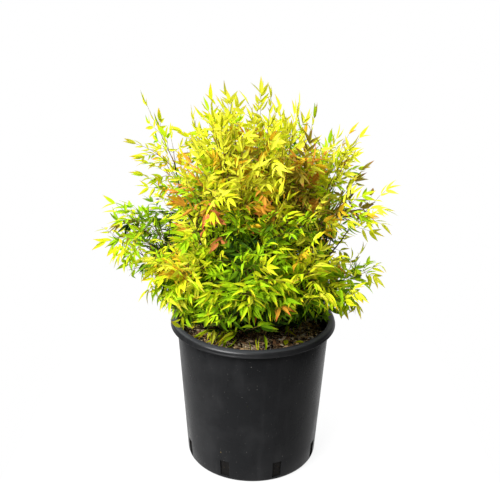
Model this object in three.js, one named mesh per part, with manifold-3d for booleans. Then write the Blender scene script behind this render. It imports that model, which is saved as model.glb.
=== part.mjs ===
// Heavenly bamboo (Nandina domestica), a dwarf form grown as a bushy clump of canes in a round nursery pot.
//
// Units are millimetres and +Z is up. The origin is the centre of the pot's flat underside; -Y is the front.
// The plant is a clump: slender canes stand on the potting mix and lean outwards, and each cane carries one
// mass of foliage, a stem with compound leaves set round it in a spiral. The masses share the crown between
// them, and each one keeps to its own wedge of directions, seen from the foot of the clump.
import * as THREE from "three";
import { mergeVertices } from "three/addons/utils/BufferGeometryUtils.js";
import Module from "manifold-3d";

const wasm = await Module();
wasm.setup();

// ---------------------------------------------------------------- driving dimensions

const CLEARANCE = 0.3; // between solids that touch in the real plant

// Pot: a thin tapering shell with a turned-down rim and a ring of drain slots.
const POT_HEIGHT = 276;
const POT_BASE_RADIUS = 121.5;
const POT_MOUTH_RADIUS = 139.5; // the wall's outside, carried up to the rim
const POT_WALL = 2.2;
const POT_FLOOR = 3;
const FOOT_ROUND = 3; // radius of the rounding under the wall
const RIM_RADIUS = 150;
const RIM_DROP = 10.5; // how far the rim turns down
const RIM_ROUND = 3.5;
const SLOT_COUNT = 8;
const SLOT_WIDTH = 17;
const SLOT_LOW = 8;
const SLOT_HIGH = 40;
const SLOT_CUT = 12; // depth of the cut that makes a slot, half of it inside the wall
const POT_SIDES = 40;
const ROUND_STEPS = 3; // in a quarter round

// Potting mix: fills the pot up to a level below the rim.
const MIX_LEVEL = 243;
const MIX_SIDES = 32;
const MIX_EDGE_SINK = 5; // how much lower the mix lies at the wall
const MIX_FLAT_SHARE = 0.84; // of its radius, inside which the mix is level

// Clump and canes.
const CLUMP_RADIUS = 48; // the feet of the canes that lean out furthest lie this far from the middle
const CLUMP_SPREAD = 0.8; // below 1, the steeper canes stand further out too
const CANE_FOOT_RADIUS = 2.8;
const CANE_FLARE = 1.35; // how much thicker a cane is at ground level
const CANE_FLARE_FADE = 9; // how fast the flare goes, against 1 for over the whole cane
const CANE_TIP_RADIUS = 1.9;
const CANE_UPRIGHT = 0.8; // share of its height for which a cane goes straight up, and
const CANE_UPRIGHT_LOSS = 0.25; // how much less that is for a cane that leads to level leaves
const CANE_SIDES = 5;
const CANE_STEPS = 4;
const CANE_SHARE = 0.28; // of the reach, where a cane gives way to its foliage

// Crown: its reach is measured from the foot of the clump to the leaf tips, and grows from CROWN_LOW_REACH
// at the lowest leaves to CROWN_TOP_REACH straight up. Elevations and turns are in degrees, and turn 0 is
// towards +X.
const CROWN_TOP_REACH = 462;
const CROWN_LOW_REACH = 215;
const CROWN_SKIRT = 16; // elevation of the lowest leaves,
const SKIRT_TILT = 4; // which is this much more in front, and less behind
const CROWN_FULLNESS = 0.75; // below 1, the crown's shoulders are fuller
const CROWN_LEAN = new THREE.Vector3(-0.08, 0.06, 0); // the share by which it reaches further this way
// Rings of masses, from the top down.
const RINGS = [
  { name: "top", count: 4, elevation: 77, turn: 0 },
  { name: "upper", count: 7, elevation: 61, turn: 26 },
  { name: "middle", count: 8, elevation: 43, turn: 0 },
  { name: "lower", count: 9, elevation: 24, turn: 0 },
];
// Shoots that stand out from their ring.
const LONG_SHOOTS = {
  top_4: { elevation: 87, turn: 290, reach: 468 }, // the highest
  upper_1: { elevation: 63, turn: 24, reach: 428 }, // high on the right
  upper_4: { elevation: 66, turn: 176, reach: 480 }, // high on the left
  middle_1: { elevation: 52, turn: 350, reach: 388 }, // the right shoulder
  middle_5: { elevation: 46, turn: 184, reach: 372 }, // the left shoulder
  lower_1: { elevation: 28, turn: 8, reach: 294 }, // low on the right
  lower_5: { elevation: 31, turn: 166, reach: 373 }, // low and far out on the left
  lower_9: { elevation: 33, turn: 318, reach: 300 }, // above the bare patch
};
const REACH_SPREAD = 0.05;
const DIRECTION_SPREAD = 4; // degrees by which a mass strays from its place in the ring
// Where the crown is open below and the potting mix shows.
const BARE_PATCH = { elevation: 8, turn: -52, halfAngle: 21 };

// Masses: a stem with compound leaves set round it in a spiral, and one more that ends it.
const STEM_RADIUS = 2.4;
const STEM_TIP_RADIUS = 2;
const STEM_STEPS = 3;
const GOLDEN_TURN = 137.5; // degrees from one compound leaf to the next
const STEM_LEAVES = 5; // compound leaves round a stem, besides the last
const STEM_SPAN = [0.1, 0.94]; // the stretch of the stem that they stand on

// Compound leaves: a rachis with opposite pairs of leaflets, and one at its tip. Each leaflet is larger than
// life and stands for a twig of fine ones. Lengths are shares of the whole compound leaf's.
const SPRAY_LENGTH = 62; // of a compound leaf at the foot of the clump, and
const SPRAY_GROWTH = 0.22; // how much longer it is for each millimetre away from there
const SPRAY_TRIMS = [1, 0.84, 0.7, 0.56]; // one that is short of room takes the first of these that fits
const SPRAY_OPENS = [56, 44, 32, 20]; // degrees between it and the stem, again the first that fits,
const SPRAY_TURNS = [0, 50, -50, 100, -100]; // and degrees that it may stray from its place in the spiral
const SPRAY_DROOP = 0.2; // how far a rachis sinks at its end, as a share of its length
const SPRAY_GAP = 10; // between one compound leaf and the next
const ROLL_SPREAD = 40; // degrees by which a compound leaf is rolled about its rachis
const OUTWARD_FACING = 1.1; // how far the blades face outwards, against 1 for upwards
const RACHIS_SHARE = 0.52;
const RACHIS_RADIUS = 1.2;
const RACHIS_TIP_RADIUS = 1;
const LEAF_PAIRS = [0.3, 0.76]; // places along the rachis, as shares of its length
const LEAF_OPENS = [52, 42]; // degrees between rachis and leaflet: the first that has room
const LEAF_WIDTH_SHARE = 0.38; // of the leaflet's own length
const LEAF_SHOULDER = 0.36; // where a leaflet is widest, as a share of its length
const LEAF_KEEL = 1.3; // depth below the fold
const LEAF_FOLD = 1.6; // height of the two edges above the fold
const LEAF_ROOT = 2.8; // width of a leaflet's foot, along the rachis
const LEAF_DROOP = 0.16;
const LEAF_CHECKS = [0.25, 0.5, 0.75, 1]; // places along a leaflet that must have room, besides its widest
const WEDGE_MARGIN = 0.6; // each mass stays this far inside its wedge
const POT_MARGIN = 2;
const GROWTH_SEED = 29;

const up = new THREE.Vector3(0, 0, 1);
const sideways = new THREE.Vector3(1, 0, 0);
const heart = new THREE.Vector3(0, 0, MIX_LEVEL); // the foot of the clump, where all wedges meet

const plasticBlack = new THREE.MeshStandardMaterial({ color: 0x1d1d1e, roughness: 0.5, metalness: 0 });
const pottingMix = new THREE.MeshStandardMaterial({ color: 0x4a3626, roughness: 0.95, metalness: 0 });
const caneBark = new THREE.MeshStandardMaterial({ color: 0x6a4a38, roughness: 0.8, metalness: 0 });
const leafGreen = new THREE.MeshStandardMaterial({ color: 0x9fb81f, roughness: 0.45, metalness: 0 });

// ---------------------------------------------------------------- helpers

const radians = THREE.MathUtils.degToRad;

// A share from 0 to 1 that depends only on the seed and the whole numbers it is asked with, so that each part
// of the plant grows the same way whatever is grown before it.
function chance(...keys) {
  let h = GROWTH_SEED;
  for (const key of keys) {
    h = Math.imul(h ^ (key + 1013), 0x85ebca6b);
    h ^= h >>> 13;
    h = Math.imul(h, 0xc2b2ae35);
    h ^= h >>> 16;
  }
  return (h >>> 0) / 2 ** 32;
}

// A number within spread of middle, either way.
const about = (middle, spread, ...keys) => middle + spread * (2 * chance(...keys) - 1);

// The unit vector at an elevation and a turn, in degrees.
function heading(elevation, turn) {
  const e = radians(elevation);
  const t = radians(turn);
  return new THREE.Vector3(Math.cos(e) * Math.cos(t), Math.cos(e) * Math.sin(t), Math.sin(e));
}

// A unit vector square to axis, as near to wanted as it can be.
function squareTo(axis, wanted) {
  const part = wanted.clone().addScaledVector(axis, -wanted.dot(axis));
  return part.lengthSq() > 1e-6 ? part.normalize() : squareTo(axis, sideways);
}

// axis tipped by an angle in degrees towards side, which is square to it.
const tipped = (axis, side, degrees) =>
  axis.clone().multiplyScalar(Math.cos(radians(degrees))).addScaledVector(side, Math.sin(radians(degrees)));

function solidFrom(geometry) {
  const bare = geometry.clone();
  bare.deleteAttribute("normal");
  bare.deleteAttribute("uv");
  const merged = mergeVertices(bare, 1e-4);
  return new wasm.Manifold(
    new wasm.Mesh({
      numProp: 3,
      vertProperties: new Float32Array(merged.attributes.position.array),
      triVerts: new Uint32Array(merged.index.array),
    }),
  );
}

function geometryFrom(solid) {
  const mesh = solid.getMesh();
  const geometry = new THREE.BufferGeometry();
  geometry.setAttribute("position", new THREE.BufferAttribute(mesh.vertProperties, 3));
  geometry.setIndex(new THREE.BufferAttribute(mesh.triVerts, 1));
  geometry.computeVertexNormals();
  return geometry;
}

// A closed mesh put together from rings of points, which all run the same way round.
class Skin {
  points = [];
  faces = [];

  ring(points) {
    const first = this.points.length;
    this.points.push(...points);
    return points.map((_, k) => first + k);
  }

  // Joins side k of one ring to the same side of the next.
  side(from, to, k) {
    const next = (k + 1) % from.length;
    this.faces.push([from[k], from[next], to[next]], [from[k], to[next], to[k]]);
  }

  sides(from, to) {
    from.forEach((_, k) => this.side(from, to, k));
  }

  // Closes a ring to a tip.
  tip(from, point) {
    const [top] = this.ring([point]);
    from.forEach((at, k) => this.faces.push([at, from[(k + 1) % from.length], top]));
  }

  // Closes a ring with a flat face, which looks forwards at the last ring and backwards at the first.
  cap(ring, forwards) {
    for (let k = 1; k + 1 < ring.length; k += 1) {
      this.faces.push(forwards ? [ring[0], ring[k], ring[k + 1]] : [ring[0], ring[k + 1], ring[k]]);
    }
  }

  geometry() {
    const geometry = new THREE.BufferGeometry().setFromPoints(this.points);
    geometry.setIndex(this.faces.flat());
    return geometry;
  }
}

// A closed tube with flat ends through rings of points.
function loft(rings) {
  const skin = new Skin();
  const placed = rings.map((points) => skin.ring(points));
  placed.slice(1).forEach((ring, i) => skin.sides(placed[i], ring));
  skin.cap(placed[0], false);
  skin.cap(placed.at(-1), true);
  return skin.geometry();
}

// ---------------------------------------------------------------- pot

// The wall's outside radius at a height.
const wallRadius = (z) => POT_BASE_RADIUS + ((POT_MOUTH_RADIUS - POT_BASE_RADIUS) * z) / POT_HEIGHT;

// Points of a quarter round about a centre, from one angle to another in degrees.
function quarter(x, y, radius, from, to) {
  return Array.from({ length: ROUND_STEPS + 1 }, (_, i) => {
    const angle = radians(from + ((to - from) * i) / ROUND_STEPS);
    return new THREE.Vector2(x + radius * Math.cos(angle), y + radius * Math.sin(angle));
  });
}

// A profile in the plane of radius and height, turned about +Z.
const turned = (profile, sides) => new THREE.LatheGeometry(profile, sides).rotateX(Math.PI / 2);

function potGeometry() {
  const lip = POT_HEIGHT - RIM_DROP;
  const underRim = POT_HEIGHT - POT_WALL;
  const v = (x, y) => new THREE.Vector2(x, y);
  const profile = [
    v(0, 0),
    ...quarter(wallRadius(FOOT_ROUND) - FOOT_ROUND, FOOT_ROUND, FOOT_ROUND, -90, 0),
    v(wallRadius(underRim), underRim),
    v(RIM_RADIUS - POT_WALL, underRim),
    v(RIM_RADIUS - POT_WALL, lip),
    v(RIM_RADIUS, lip),
    ...quarter(RIM_RADIUS - RIM_ROUND, POT_HEIGHT - RIM_ROUND, RIM_ROUND, 0, 90),
    v(wallRadius(POT_HEIGHT) - POT_WALL, POT_HEIGHT),
    v(wallRadius(POT_FLOOR) - POT_WALL, POT_FLOOR),
    v(0, POT_FLOOR),
  ];
  let pot = solidFrom(turned(profile, POT_SIDES));
  for (let i = 0; i < SLOT_COUNT; i += 1) {
    const slot = new THREE.BoxGeometry(SLOT_CUT, SLOT_WIDTH, SLOT_HIGH - SLOT_LOW);
    slot.translate(wallRadius(SLOT_LOW), 0, (SLOT_HIGH + SLOT_LOW) / 2);
    slot.rotateZ(radians(-90 + (360 * (i + 0.5)) / SLOT_COUNT));
    pot = pot.subtract(solidFrom(slot));
  }
  return geometryFrom(pot);
}

function pottingMixGeometry() {
  const inside = (z) => wallRadius(z) - POT_WALL - CLEARANCE;
  const low = POT_FLOOR + CLEARANCE;
  const edge = MIX_LEVEL - MIX_EDGE_SINK;
  const facetShare = Math.cos(Math.PI / POT_SIDES); // the pot's own flat sides come in by this much
  const profile = [
    new THREE.Vector2(0, low),
    new THREE.Vector2(inside(low) * facetShare, low),
    new THREE.Vector2(inside(edge) * facetShare, edge),
    new THREE.Vector2(inside(MIX_LEVEL) * MIX_FLAT_SHARE, MIX_LEVEL),
    new THREE.Vector2(0, MIX_LEVEL),
  ];
  return turned(profile, MIX_SIDES);
}

// ---------------------------------------------------------------- crown plan

// How far the crown reaches in a direction from the heart of the clump.
function crownReach(out) {
  const elevation = THREE.MathUtils.radToDeg(Math.asin(out.z));
  const share = Math.max(elevation - CROWN_SKIRT, 0) / (90 - CROWN_SKIRT);
  const reach = THREE.MathUtils.lerp(CROWN_LOW_REACH, CROWN_TOP_REACH, share ** CROWN_FULLNESS);
  return reach * (1 + CROWN_LEAN.dot(out));
}

// Every mass's name, direction from the heart of the clump, and reach as a share of the crown's.
function crownPlan() {
  const plan = [];
  RINGS.forEach((ring) => {
    for (let i = 0; i < ring.count; i += 1) {
      const number = plan.length;
      const name = `${ring.name}_${i + 1}`;
      const shoot = LONG_SHOOTS[name];
      const out = shoot
        ? heading(shoot.elevation, shoot.turn)
        : heading(
            about(ring.elevation, DIRECTION_SPREAD, number, 1),
            about(ring.turn + (360 * i) / ring.count, DIRECTION_SPREAD, number, 2),
          );
      const boldness = shoot ? shoot.reach / crownReach(out) : about(1, REACH_SPREAD, number, 3);
      plan.push({ number, name, out, boldness, reach: crownReach(out) * boldness });
    }
  });
  return plan;
}

const plan = crownPlan();

// ---------------------------------------------------------------- canes

// A cane's middle line: straight up out of the mix, then bending out to the foot of its foliage.
function caneCurve({ out, reach }) {
  const level = Math.hypot(out.x, out.y);
  const foot = new THREE.Vector3(out.x, out.y, 0).setLength(CLUMP_RADIUS * level ** CLUMP_SPREAD).add(heart);
  foot.z += CLEARANCE;
  const tip = heart.clone().addScaledVector(out, reach * CANE_SHARE);
  const bend = foot.clone();
  bend.z += (tip.z - foot.z) * (CANE_UPRIGHT - CANE_UPRIGHT_LOSS * level);
  return new THREE.QuadraticBezierCurve3(foot, bend, tip);
}

function caneGeometry(mass) {
  const curve = caneCurve(mass);
  const rings = Array.from({ length: CANE_STEPS + 1 }, (_, i) => {
    const t = i / CANE_STEPS;
    const flare = 1 + (CANE_FLARE - 1) * Math.exp(-CANE_FLARE_FADE * t);
    const radius = THREE.MathUtils.lerp(CANE_FOOT_RADIUS, CANE_TIP_RADIUS, t) * flare;
    const along = curve.getTangent(t);
    const across = squareTo(along, sideways);
    const other = along.clone().cross(across);
    return Array.from({ length: CANE_SIDES }, (_unused, k) => {
      const turn = (2 * Math.PI * k) / CANE_SIDES;
      return curve
        .getPoint(t)
        .addScaledVector(across, radius * Math.cos(turn))
        .addScaledVector(other, radius * Math.sin(turn));
    });
  });
  rings[0].forEach((point) => point.setZ(heart.z + CLEARANCE)); // the flat cut at ground level
  return loft(rings);
}

// ---------------------------------------------------------------- foliage

const barePatch = heading(BARE_PATCH.elevation, BARE_PATCH.turn);

// True if a point lies in the mass's own wedge, within the crown's reach and clear of the bare patch, and
// either above the mix inside the pot's mouth, or above the rim and the crown's skirt outside it.
function hasRoom(point, mass) {
  const fromHeart = point.clone().sub(heart);
  const isNearerThan = (other) => fromHeart.dot(mass.out.clone().sub(other.out).normalize()) > WEDGE_MARGIN;
  const own = plan.every((other) => other === mass || isNearerThan(other));
  const far = fromHeart.length();
  const out = fromHeart.divideScalar(far);
  const inMouth = Math.hypot(point.x, point.y) < wallRadius(MIX_LEVEL) - POT_WALL - POT_MARGIN;
  const skirt = Math.sin(radians(CROWN_SKIRT - SKIRT_TILT * out.y));
  return (
    own &&
    far < crownReach(out) * mass.boldness + CLEARANCE &&
    out.angleTo(barePatch) > radians(BARE_PATCH.halfAngle) &&
    point.z > (inMouth ? MIX_LEVEL : POT_HEIGHT) + POT_MARGIN &&
    (inMouth || out.z > skirt)
  );
}

// Three points across a twig or a leaflet: its keel below, then its left and right edges, raised by fold.
function crossSection(at, along, normal, { halfWidth, fold, keel }) {
  const side = along.clone().cross(normal);
  return [
    at.clone().addScaledVector(normal, -keel),
    at.clone().addScaledVector(normal, fold).addScaledVector(side, -halfWidth),
    at.clone().addScaledVector(normal, fold).addScaledVector(side, halfWidth),
  ];
}

// The sides of such a ring, each named by the number of the point that it starts from.
const LEFT_SIDE = 0;
const TOP_SIDE = 1;
const RIGHT_SIDE = 2;

// The ring of a twig at t along a curve: an even triangle with its point down, away from facing.
function twigRing(curve, t, radius, facing) {
  const along = curve.getTangent(t);
  const section = { halfWidth: radius * Math.sin(Math.PI / 3), fold: radius / 2, keel: radius };
  return crossSection(curve.getPoint(t), along, squareTo(along, facing), section);
}

// How long a compound leaf is that stands this far from the heart of the clump.
const sprayLength = (distance) => SPRAY_LENGTH + SPRAY_GROWTH * distance;

// A mass's last compound leaf starts at this distance from the heart, so that it ends at the mass's reach.
const lastStart = (mass) => (mass.reach - SPRAY_LENGTH) / (1 + SPRAY_GROWTH);

// The middle line of a mass's stem, from just past its cane to its last compound leaf.
function stemCurve(mass) {
  const cane = caneCurve(mass);
  const start = cane.getPoint(1).addScaledVector(cane.getTangent(1), CLEARANCE);
  const end = heart.clone().addScaledVector(mass.out, lastStart(mass));
  const bend = start.clone().addScaledVector(cane.getTangent(1), start.distanceTo(end) / 2);
  return new THREE.QuadraticBezierCurve3(start, bend, end);
}

// The leaflet on a rachis at t, turned to one side of it (1 or -1) or straight on (0).
function leafAt({ rachis, facing, leafLength, leafDroop }, t, hand, open) {
  const axis = rachis.getTangent(t);
  const above = squareTo(axis, facing);
  const along = tipped(axis, axis.clone().cross(above), open * hand);
  along.z -= leafDroop;
  along.normalize();
  return { t, hand, root: rachis.getPoint(t), along, normal: squareTo(along, above), length: leafLength };
}

// A leaflet's cross-section where it is widest.
function shoulderOf({ root, along, normal, length }) {
  const at = root.clone().addScaledVector(along, length * LEAF_SHOULDER);
  return crossSection(at, along, normal, {
    halfWidth: (length * LEAF_WIDTH_SHARE) / 2,
    fold: LEAF_FOLD,
    keel: LEAF_KEEL,
  });
}

// Places all over a leaflet: its widest points, and points along its middle.
const placesOn = (leaf) => [
  ...shoulderOf(leaf).slice(1),
  ...LEAF_CHECKS.map((t) => leaf.root.clone().addScaledVector(leaf.along, leaf.length * t)),
];

// A compound leaf of a given length that starts at a point: its rachis sinks by droop towards its end, and
// its blades face up and outwards, rolled a little about the rachis. Its leaflets are those that have room.
// Null if the rachis or the leaflet at its tip has none.
function compoundLeaf(mass, start, along, length, { droop, leafDroop, roll }) {
  const end = start.clone().addScaledVector(along, length * RACHIS_SHARE);
  const bend = start.clone().lerp(end, 0.5);
  end.z -= length * RACHIS_SHARE * droop * Math.hypot(along.x, along.y);
  const rachis = new THREE.QuadraticBezierCurve3(start, bend, end);
  const upward = squareTo(along, mass.out.clone().setZ(0).multiplyScalar(OUTWARD_FACING).add(up));
  const facing = tipped(upward, along.clone().cross(upward), roll);
  const frame = { rachis, facing, leafLength: length * (1 - RACHIS_SHARE), leafDroop };
  const fits = (leaf) => placesOn(leaf).every((place) => hasRoom(place, mass));
  const tipLeaf = leafAt(frame, 1, 0, 0);
  if (!fits(tipLeaf) || !hasRoom(rachis.getPoint(0.5), mass)) return null;
  const sideLeaves = LEAF_PAIRS.flatMap((t) =>
    [1, -1].map((hand) => LEAF_OPENS.map((open) => leafAt(frame, t, hand, open)).find(fits)),
  ).filter(Boolean);
  return { ...frame, tipLeaf, sideLeaves, places: [tipLeaf, ...sideLeaves].flatMap(placesOn) };
}

// The mass's last compound leaf, straight out to its full reach.
function lastLeaf(mass) {
  const start = heart.clone().addScaledVector(mass.out, lastStart(mass));
  return compoundLeaf(mass, start, mass.out, mass.reach - lastStart(mass), {
    droop: 0,
    leafDroop: 0,
    roll: about(0, ROLL_SPREAD, mass.number, 5),
  });
}

// The compound leaf at one place in the stem's spiral: the fullest that keeps clear of those in place.
function stemLeaf(mass, stem, number, taken) {
  const t = THREE.MathUtils.lerp(...STEM_SPAN, number / (STEM_LEAVES - 1));
  const start = stem.getPoint(t);
  const axis = stem.getTangent(t);
  const above = squareTo(axis, up);
  const aside = axis.clone().cross(above);
  const turn = GOLDEN_TURN * number + 360 * chance(mass.number, 4);
  const roll = about(0, ROLL_SPREAD, mass.number, number, 6);
  const pose = { droop: SPRAY_DROOP, leafDroop: LEAF_DROOP, roll };
  const isFree = (place) => taken.every((other) => place.distanceTo(other) > SPRAY_GAP);
  let best = null;
  for (const trim of SPRAY_TRIMS) {
    const length = trim * sprayLength(start.distanceTo(heart));
    for (const open of SPRAY_OPENS) {
      for (const stray of SPRAY_TURNS) {
        const along = tipped(axis, tipped(above, aside, turn + stray), open);
        const leaf = compoundLeaf(mass, start, along, length, pose);
        const fuller = leaf && leaf.sideLeaves.length > (best?.sideLeaves.length ?? -1);
        if (fuller && leaf.places.every(isFree)) best = leaf;
      }
    }
    if (best && best.sideLeaves.length === 2 * LEAF_PAIRS.length) return best;
  }
  return best;
}

// The compound leaves of a mass, from its tip down.
function leavesOf(mass, stem) {
  const leaves = [lastLeaf(mass)];
  for (let number = STEM_LEAVES - 1; number >= 0; number -= 1) {
    const taken = leaves.flatMap((leaf) => leaf.places);
    const leaf = stemLeaf(mass, stem, number, taken);
    if (leaf) leaves.push(leaf);
  }
  return leaves;
}

// A leaflet that grows out of one face of its rachis, between two rings of it.
function addLeaf(skin, [nearKeel, nearEdge, farEdge, farKeel], leaf) {
  const [keel, left, right] = skin.ring(shoulderOf(leaf));
  skin.faces.push(
    [nearKeel, nearEdge, left],
    [nearKeel, left, keel],
    [nearEdge, farEdge, right],
    [nearEdge, right, left],
    [farEdge, farKeel, keel],
    [farEdge, keel, right],
    [farKeel, nearKeel, keel],
  );
  skin.tip([keel, left, right], leaf.root.clone().addScaledVector(leaf.along, leaf.length));
}

// A compound leaf as one closed skin: the rachis runs on into the leaflet at its tip and opens into the rest.
function compoundLeafGeometry({ rachis, facing, tipLeaf, sideLeaves }) {
  const skin = new Skin();
  const ringAt = (t) =>
    skin.ring(twigRing(rachis, t, THREE.MathUtils.lerp(RACHIS_RADIUS, RACHIS_TIP_RADIUS, t), facing));
  const halfRoot = LEAF_ROOT / 2 / rachis.getLength();
  let ring = ringAt(0);
  skin.cap(ring, false);
  for (const t of LEAF_PAIRS) {
    const near = ringAt(t - halfRoot);
    const far = ringAt(t + halfRoot);
    skin.sides(ring, near);
    skin.side(near, far, TOP_SIDE);
    const left = sideLeaves.find((leaf) => leaf.t === t && leaf.hand === -1);
    const right = sideLeaves.find((leaf) => leaf.t === t && leaf.hand === 1);
    if (left) addLeaf(skin, [near[0], near[1], far[1], far[0]], left);
    else skin.side(near, far, LEFT_SIDE);
    if (right) addLeaf(skin, [far[0], far[2], near[2], near[0]], right);
    else skin.side(near, far, RIGHT_SIDE);
    ring = far;
  }
  const shoulder = skin.ring(shoulderOf(tipLeaf));
  skin.sides(ring, shoulder);
  skin.tip(shoulder, tipLeaf.root.clone().addScaledVector(tipLeaf.along, tipLeaf.length));
  return skin.geometry();
}

function foliageGeometry(mass) {
  const stem = stemCurve(mass);
  const stemRings = Array.from({ length: STEM_STEPS + 1 }, (_, i) => {
    const t = i / STEM_STEPS;
    return twigRing(stem, t, THREE.MathUtils.lerp(STEM_RADIUS, STEM_TIP_RADIUS, t), up);
  });
  let solid = solidFrom(loft(stemRings));
  for (const leaf of leavesOf(mass, stem)) solid = solid.add(solidFrom(compoundLeafGeometry(leaf)));
  const bodies = solid.decompose().sort((a, b) => b.volume() - a.volume());
  return geometryFrom(bodies[0]);
}

// ---------------------------------------------------------------- assembly

const plant = new THREE.Group();

function addPart(name, geometry, material, parent = plant) {
  const mesh = new THREE.Mesh(geometry, material);
  mesh.name = name;
  parent.add(mesh);
}

addPart("pot", potGeometry(), plasticBlack);
addPart("potting_mix", pottingMixGeometry(), pottingMix);
for (const mass of plan) {
  addPart(`cane_${mass.name}`, caneGeometry(mass), caneBark);
  addPart(`foliage_${mass.name}`, foliageGeometry(mass), leafGreen);
}

export default plant;
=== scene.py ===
# %% [markdown]
# # Heavenly bamboo in a nursery pot
#
# A dwarf Nandina domestica: a clump of thin canes, each carrying a stem of compound leaves, in a black
# plastic pot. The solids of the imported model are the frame. Each one is replaced here by a finer mesh in
# the same place. The masses of foliage grow again by the rule of the solids, and are then carried on to
# real twigs and leaflets.

# %% Load the frame
import itertools
import math

import bmesh
import bpy
import numpy as np
from mathutils import Matrix, Vector, noise


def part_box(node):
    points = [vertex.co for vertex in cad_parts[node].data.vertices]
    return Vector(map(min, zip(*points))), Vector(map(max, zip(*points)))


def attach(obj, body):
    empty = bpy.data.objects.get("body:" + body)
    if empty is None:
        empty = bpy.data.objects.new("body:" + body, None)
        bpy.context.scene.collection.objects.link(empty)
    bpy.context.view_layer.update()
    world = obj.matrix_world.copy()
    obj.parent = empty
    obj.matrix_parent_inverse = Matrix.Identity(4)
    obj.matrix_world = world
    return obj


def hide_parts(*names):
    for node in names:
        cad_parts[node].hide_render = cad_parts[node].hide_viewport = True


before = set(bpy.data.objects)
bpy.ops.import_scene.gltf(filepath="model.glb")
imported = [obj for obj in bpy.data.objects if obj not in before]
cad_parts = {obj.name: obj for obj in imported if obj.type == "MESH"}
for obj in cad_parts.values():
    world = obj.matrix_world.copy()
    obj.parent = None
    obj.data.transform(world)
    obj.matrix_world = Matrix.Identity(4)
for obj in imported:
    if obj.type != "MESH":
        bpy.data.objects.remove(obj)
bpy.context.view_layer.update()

nodes = sorted(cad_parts)
cane_nodes = [name for name in nodes if name.startswith("cane_")]
foliage_nodes = [name for name in nodes if name.startswith("foliage_")]
print("frame:", len(cane_nodes), "canes and", len(foliage_nodes), "masses of foliage")

# %% [markdown]
# ## Camera
#
# A real camera is described by its place, where it points and its lens. Here it stands a little over a
# metre in front of the plant, above the rim, and looks down on the pot by about twenty degrees. Matrices
# are multiplied in the order turn, tilt, roll, so that the roll stays a roll about the line of sight.

# %% Place the camera
SENSOR_WIDTH = 36.0  # millimetres, as Blender wants it
LENS = 54.24
CAMERA_PLACE = Vector((0.0034, -1.2568, 0.8553))
CAMERA_TILT = math.radians(-19.82)
CAMERA_TURN = math.radians(0.48)
CAMERA_ROLL = math.radians(0.70)


def make_camera():
    data = bpy.data.cameras.new("camera")
    data.sensor_width = SENSOR_WIDTH
    data.lens = LENS
    camera = bpy.data.objects.new("camera", data)
    bpy.context.scene.collection.objects.link(camera)
    turn = Matrix.Rotation(CAMERA_TURN, 4, "Z")
    tilt = Matrix.Rotation(math.pi / 2 + CAMERA_TILT, 4, "X")
    roll = Matrix.Rotation(CAMERA_ROLL, 4, "Z")
    camera.matrix_world = Matrix.Translation(CAMERA_PLACE) @ turn @ tilt @ roll
    return camera


bpy.context.scene.camera = make_camera()
print("camera", tuple(round(x, 3) for x in CAMERA_PLACE))

# %% [markdown]
# ## Shader maths in plain Python
#
# A finish is a small graph of nodes. Wiring each one by hand is long, so one class wraps a socket: sums on
# it add the Math nodes, and its node method adds any other kind. Colours are mixed with Mix nodes only.

# %% Define the wire
class Wire:
    """One socket in a tree of nodes. Sums on wires add the Math nodes that work them out.

    A wire without a socket is a place to start a tree's first nodes from.
    """

    def __init__(self, tree, socket=None):
        self.tree = tree
        self.socket = socket

    def node(self, kind, settings=None, inputs=None, output=0):
        """A new node of a kind: its settings first, then its sockets' values or wires."""
        made = self.tree.nodes.new(kind)
        for name, value in (settings or {}).items():
            setattr(made, name, value)
        for name, value in (inputs or {}).items():
            if isinstance(value, Wire):
                self.tree.links.new(value.socket, made.inputs[name])
            else:
                made.inputs[name].default_value = value
        return Wire(self.tree, made.outputs[output])

    def math(self, operation, first, second):
        return self.node("ShaderNodeMath", {"operation": operation}, {0: first, 1: second})

    def __add__(self, other):
        return self.math("ADD", self, other)

    def __radd__(self, other):
        return self.math("ADD", other, self)

    def __sub__(self, other):
        return self.math("SUBTRACT", self, other)

    def __rsub__(self, other):
        return self.math("SUBTRACT", other, self)

    def __mul__(self, other):
        return self.math("MULTIPLY", self, other)

    def __rmul__(self, other):
        return self.math("MULTIPLY", other, self)

    def part(self, number):
        """One of the three numbers of the place or direction that this wire carries."""
        return self.node("ShaderNodeSeparateXYZ", {}, {"Vector": self}, output=number)

    def clouds(self, scale, detail, roughness=0.55, stretch=(1, 1, 1)):
        """Noise from 0 to 1 over the places that this wire carries."""
        placed = self.node("ShaderNodeMapping", {}, {"Vector": self, "Scale": stretch})
        inputs = {"Vector": placed, "Scale": scale, "Detail": detail, "Roughness": roughness}
        return self.node("ShaderNodeTexNoise", {}, inputs)

    def patches(self, scale, detail, low, high, stretch=(1, 1, 1)):
        """Clouds that are cut between two edges, so that they become patches with clear places between."""
        return self.clouds(scale, detail, stretch=stretch).between(low, high)

    def between(self, low, high):
        """0 below low, 1 above high, and a smooth step between."""
        inputs = {"Value": self, "From Min": low, "From Max": high}
        return self.node("ShaderNodeMapRange", {"interpolation_type": "SMOOTHSTEP"}, inputs)

    def distance(self, point):
        """How far the place that this wire carries is from a point."""
        return self.node("ShaderNodeVectorMath", {"operation": "DISTANCE"}, {0: self, 1: point}, "Value")

    def blend(self, first, second):
        """The first colour where this wire is 0, and the second where it is 1."""
        return self.node("ShaderNodeMix", {"data_type": "RGBA"}, {0: self, 6: first, 7: second}, output=2)

    def relief(self, depth, strength=1.0):
        """A surface normal with this wire's heights, times a depth in metres."""
        return self.node("ShaderNodeBump", {}, {"Height": self, "Distance": depth, "Strength": strength})


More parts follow.
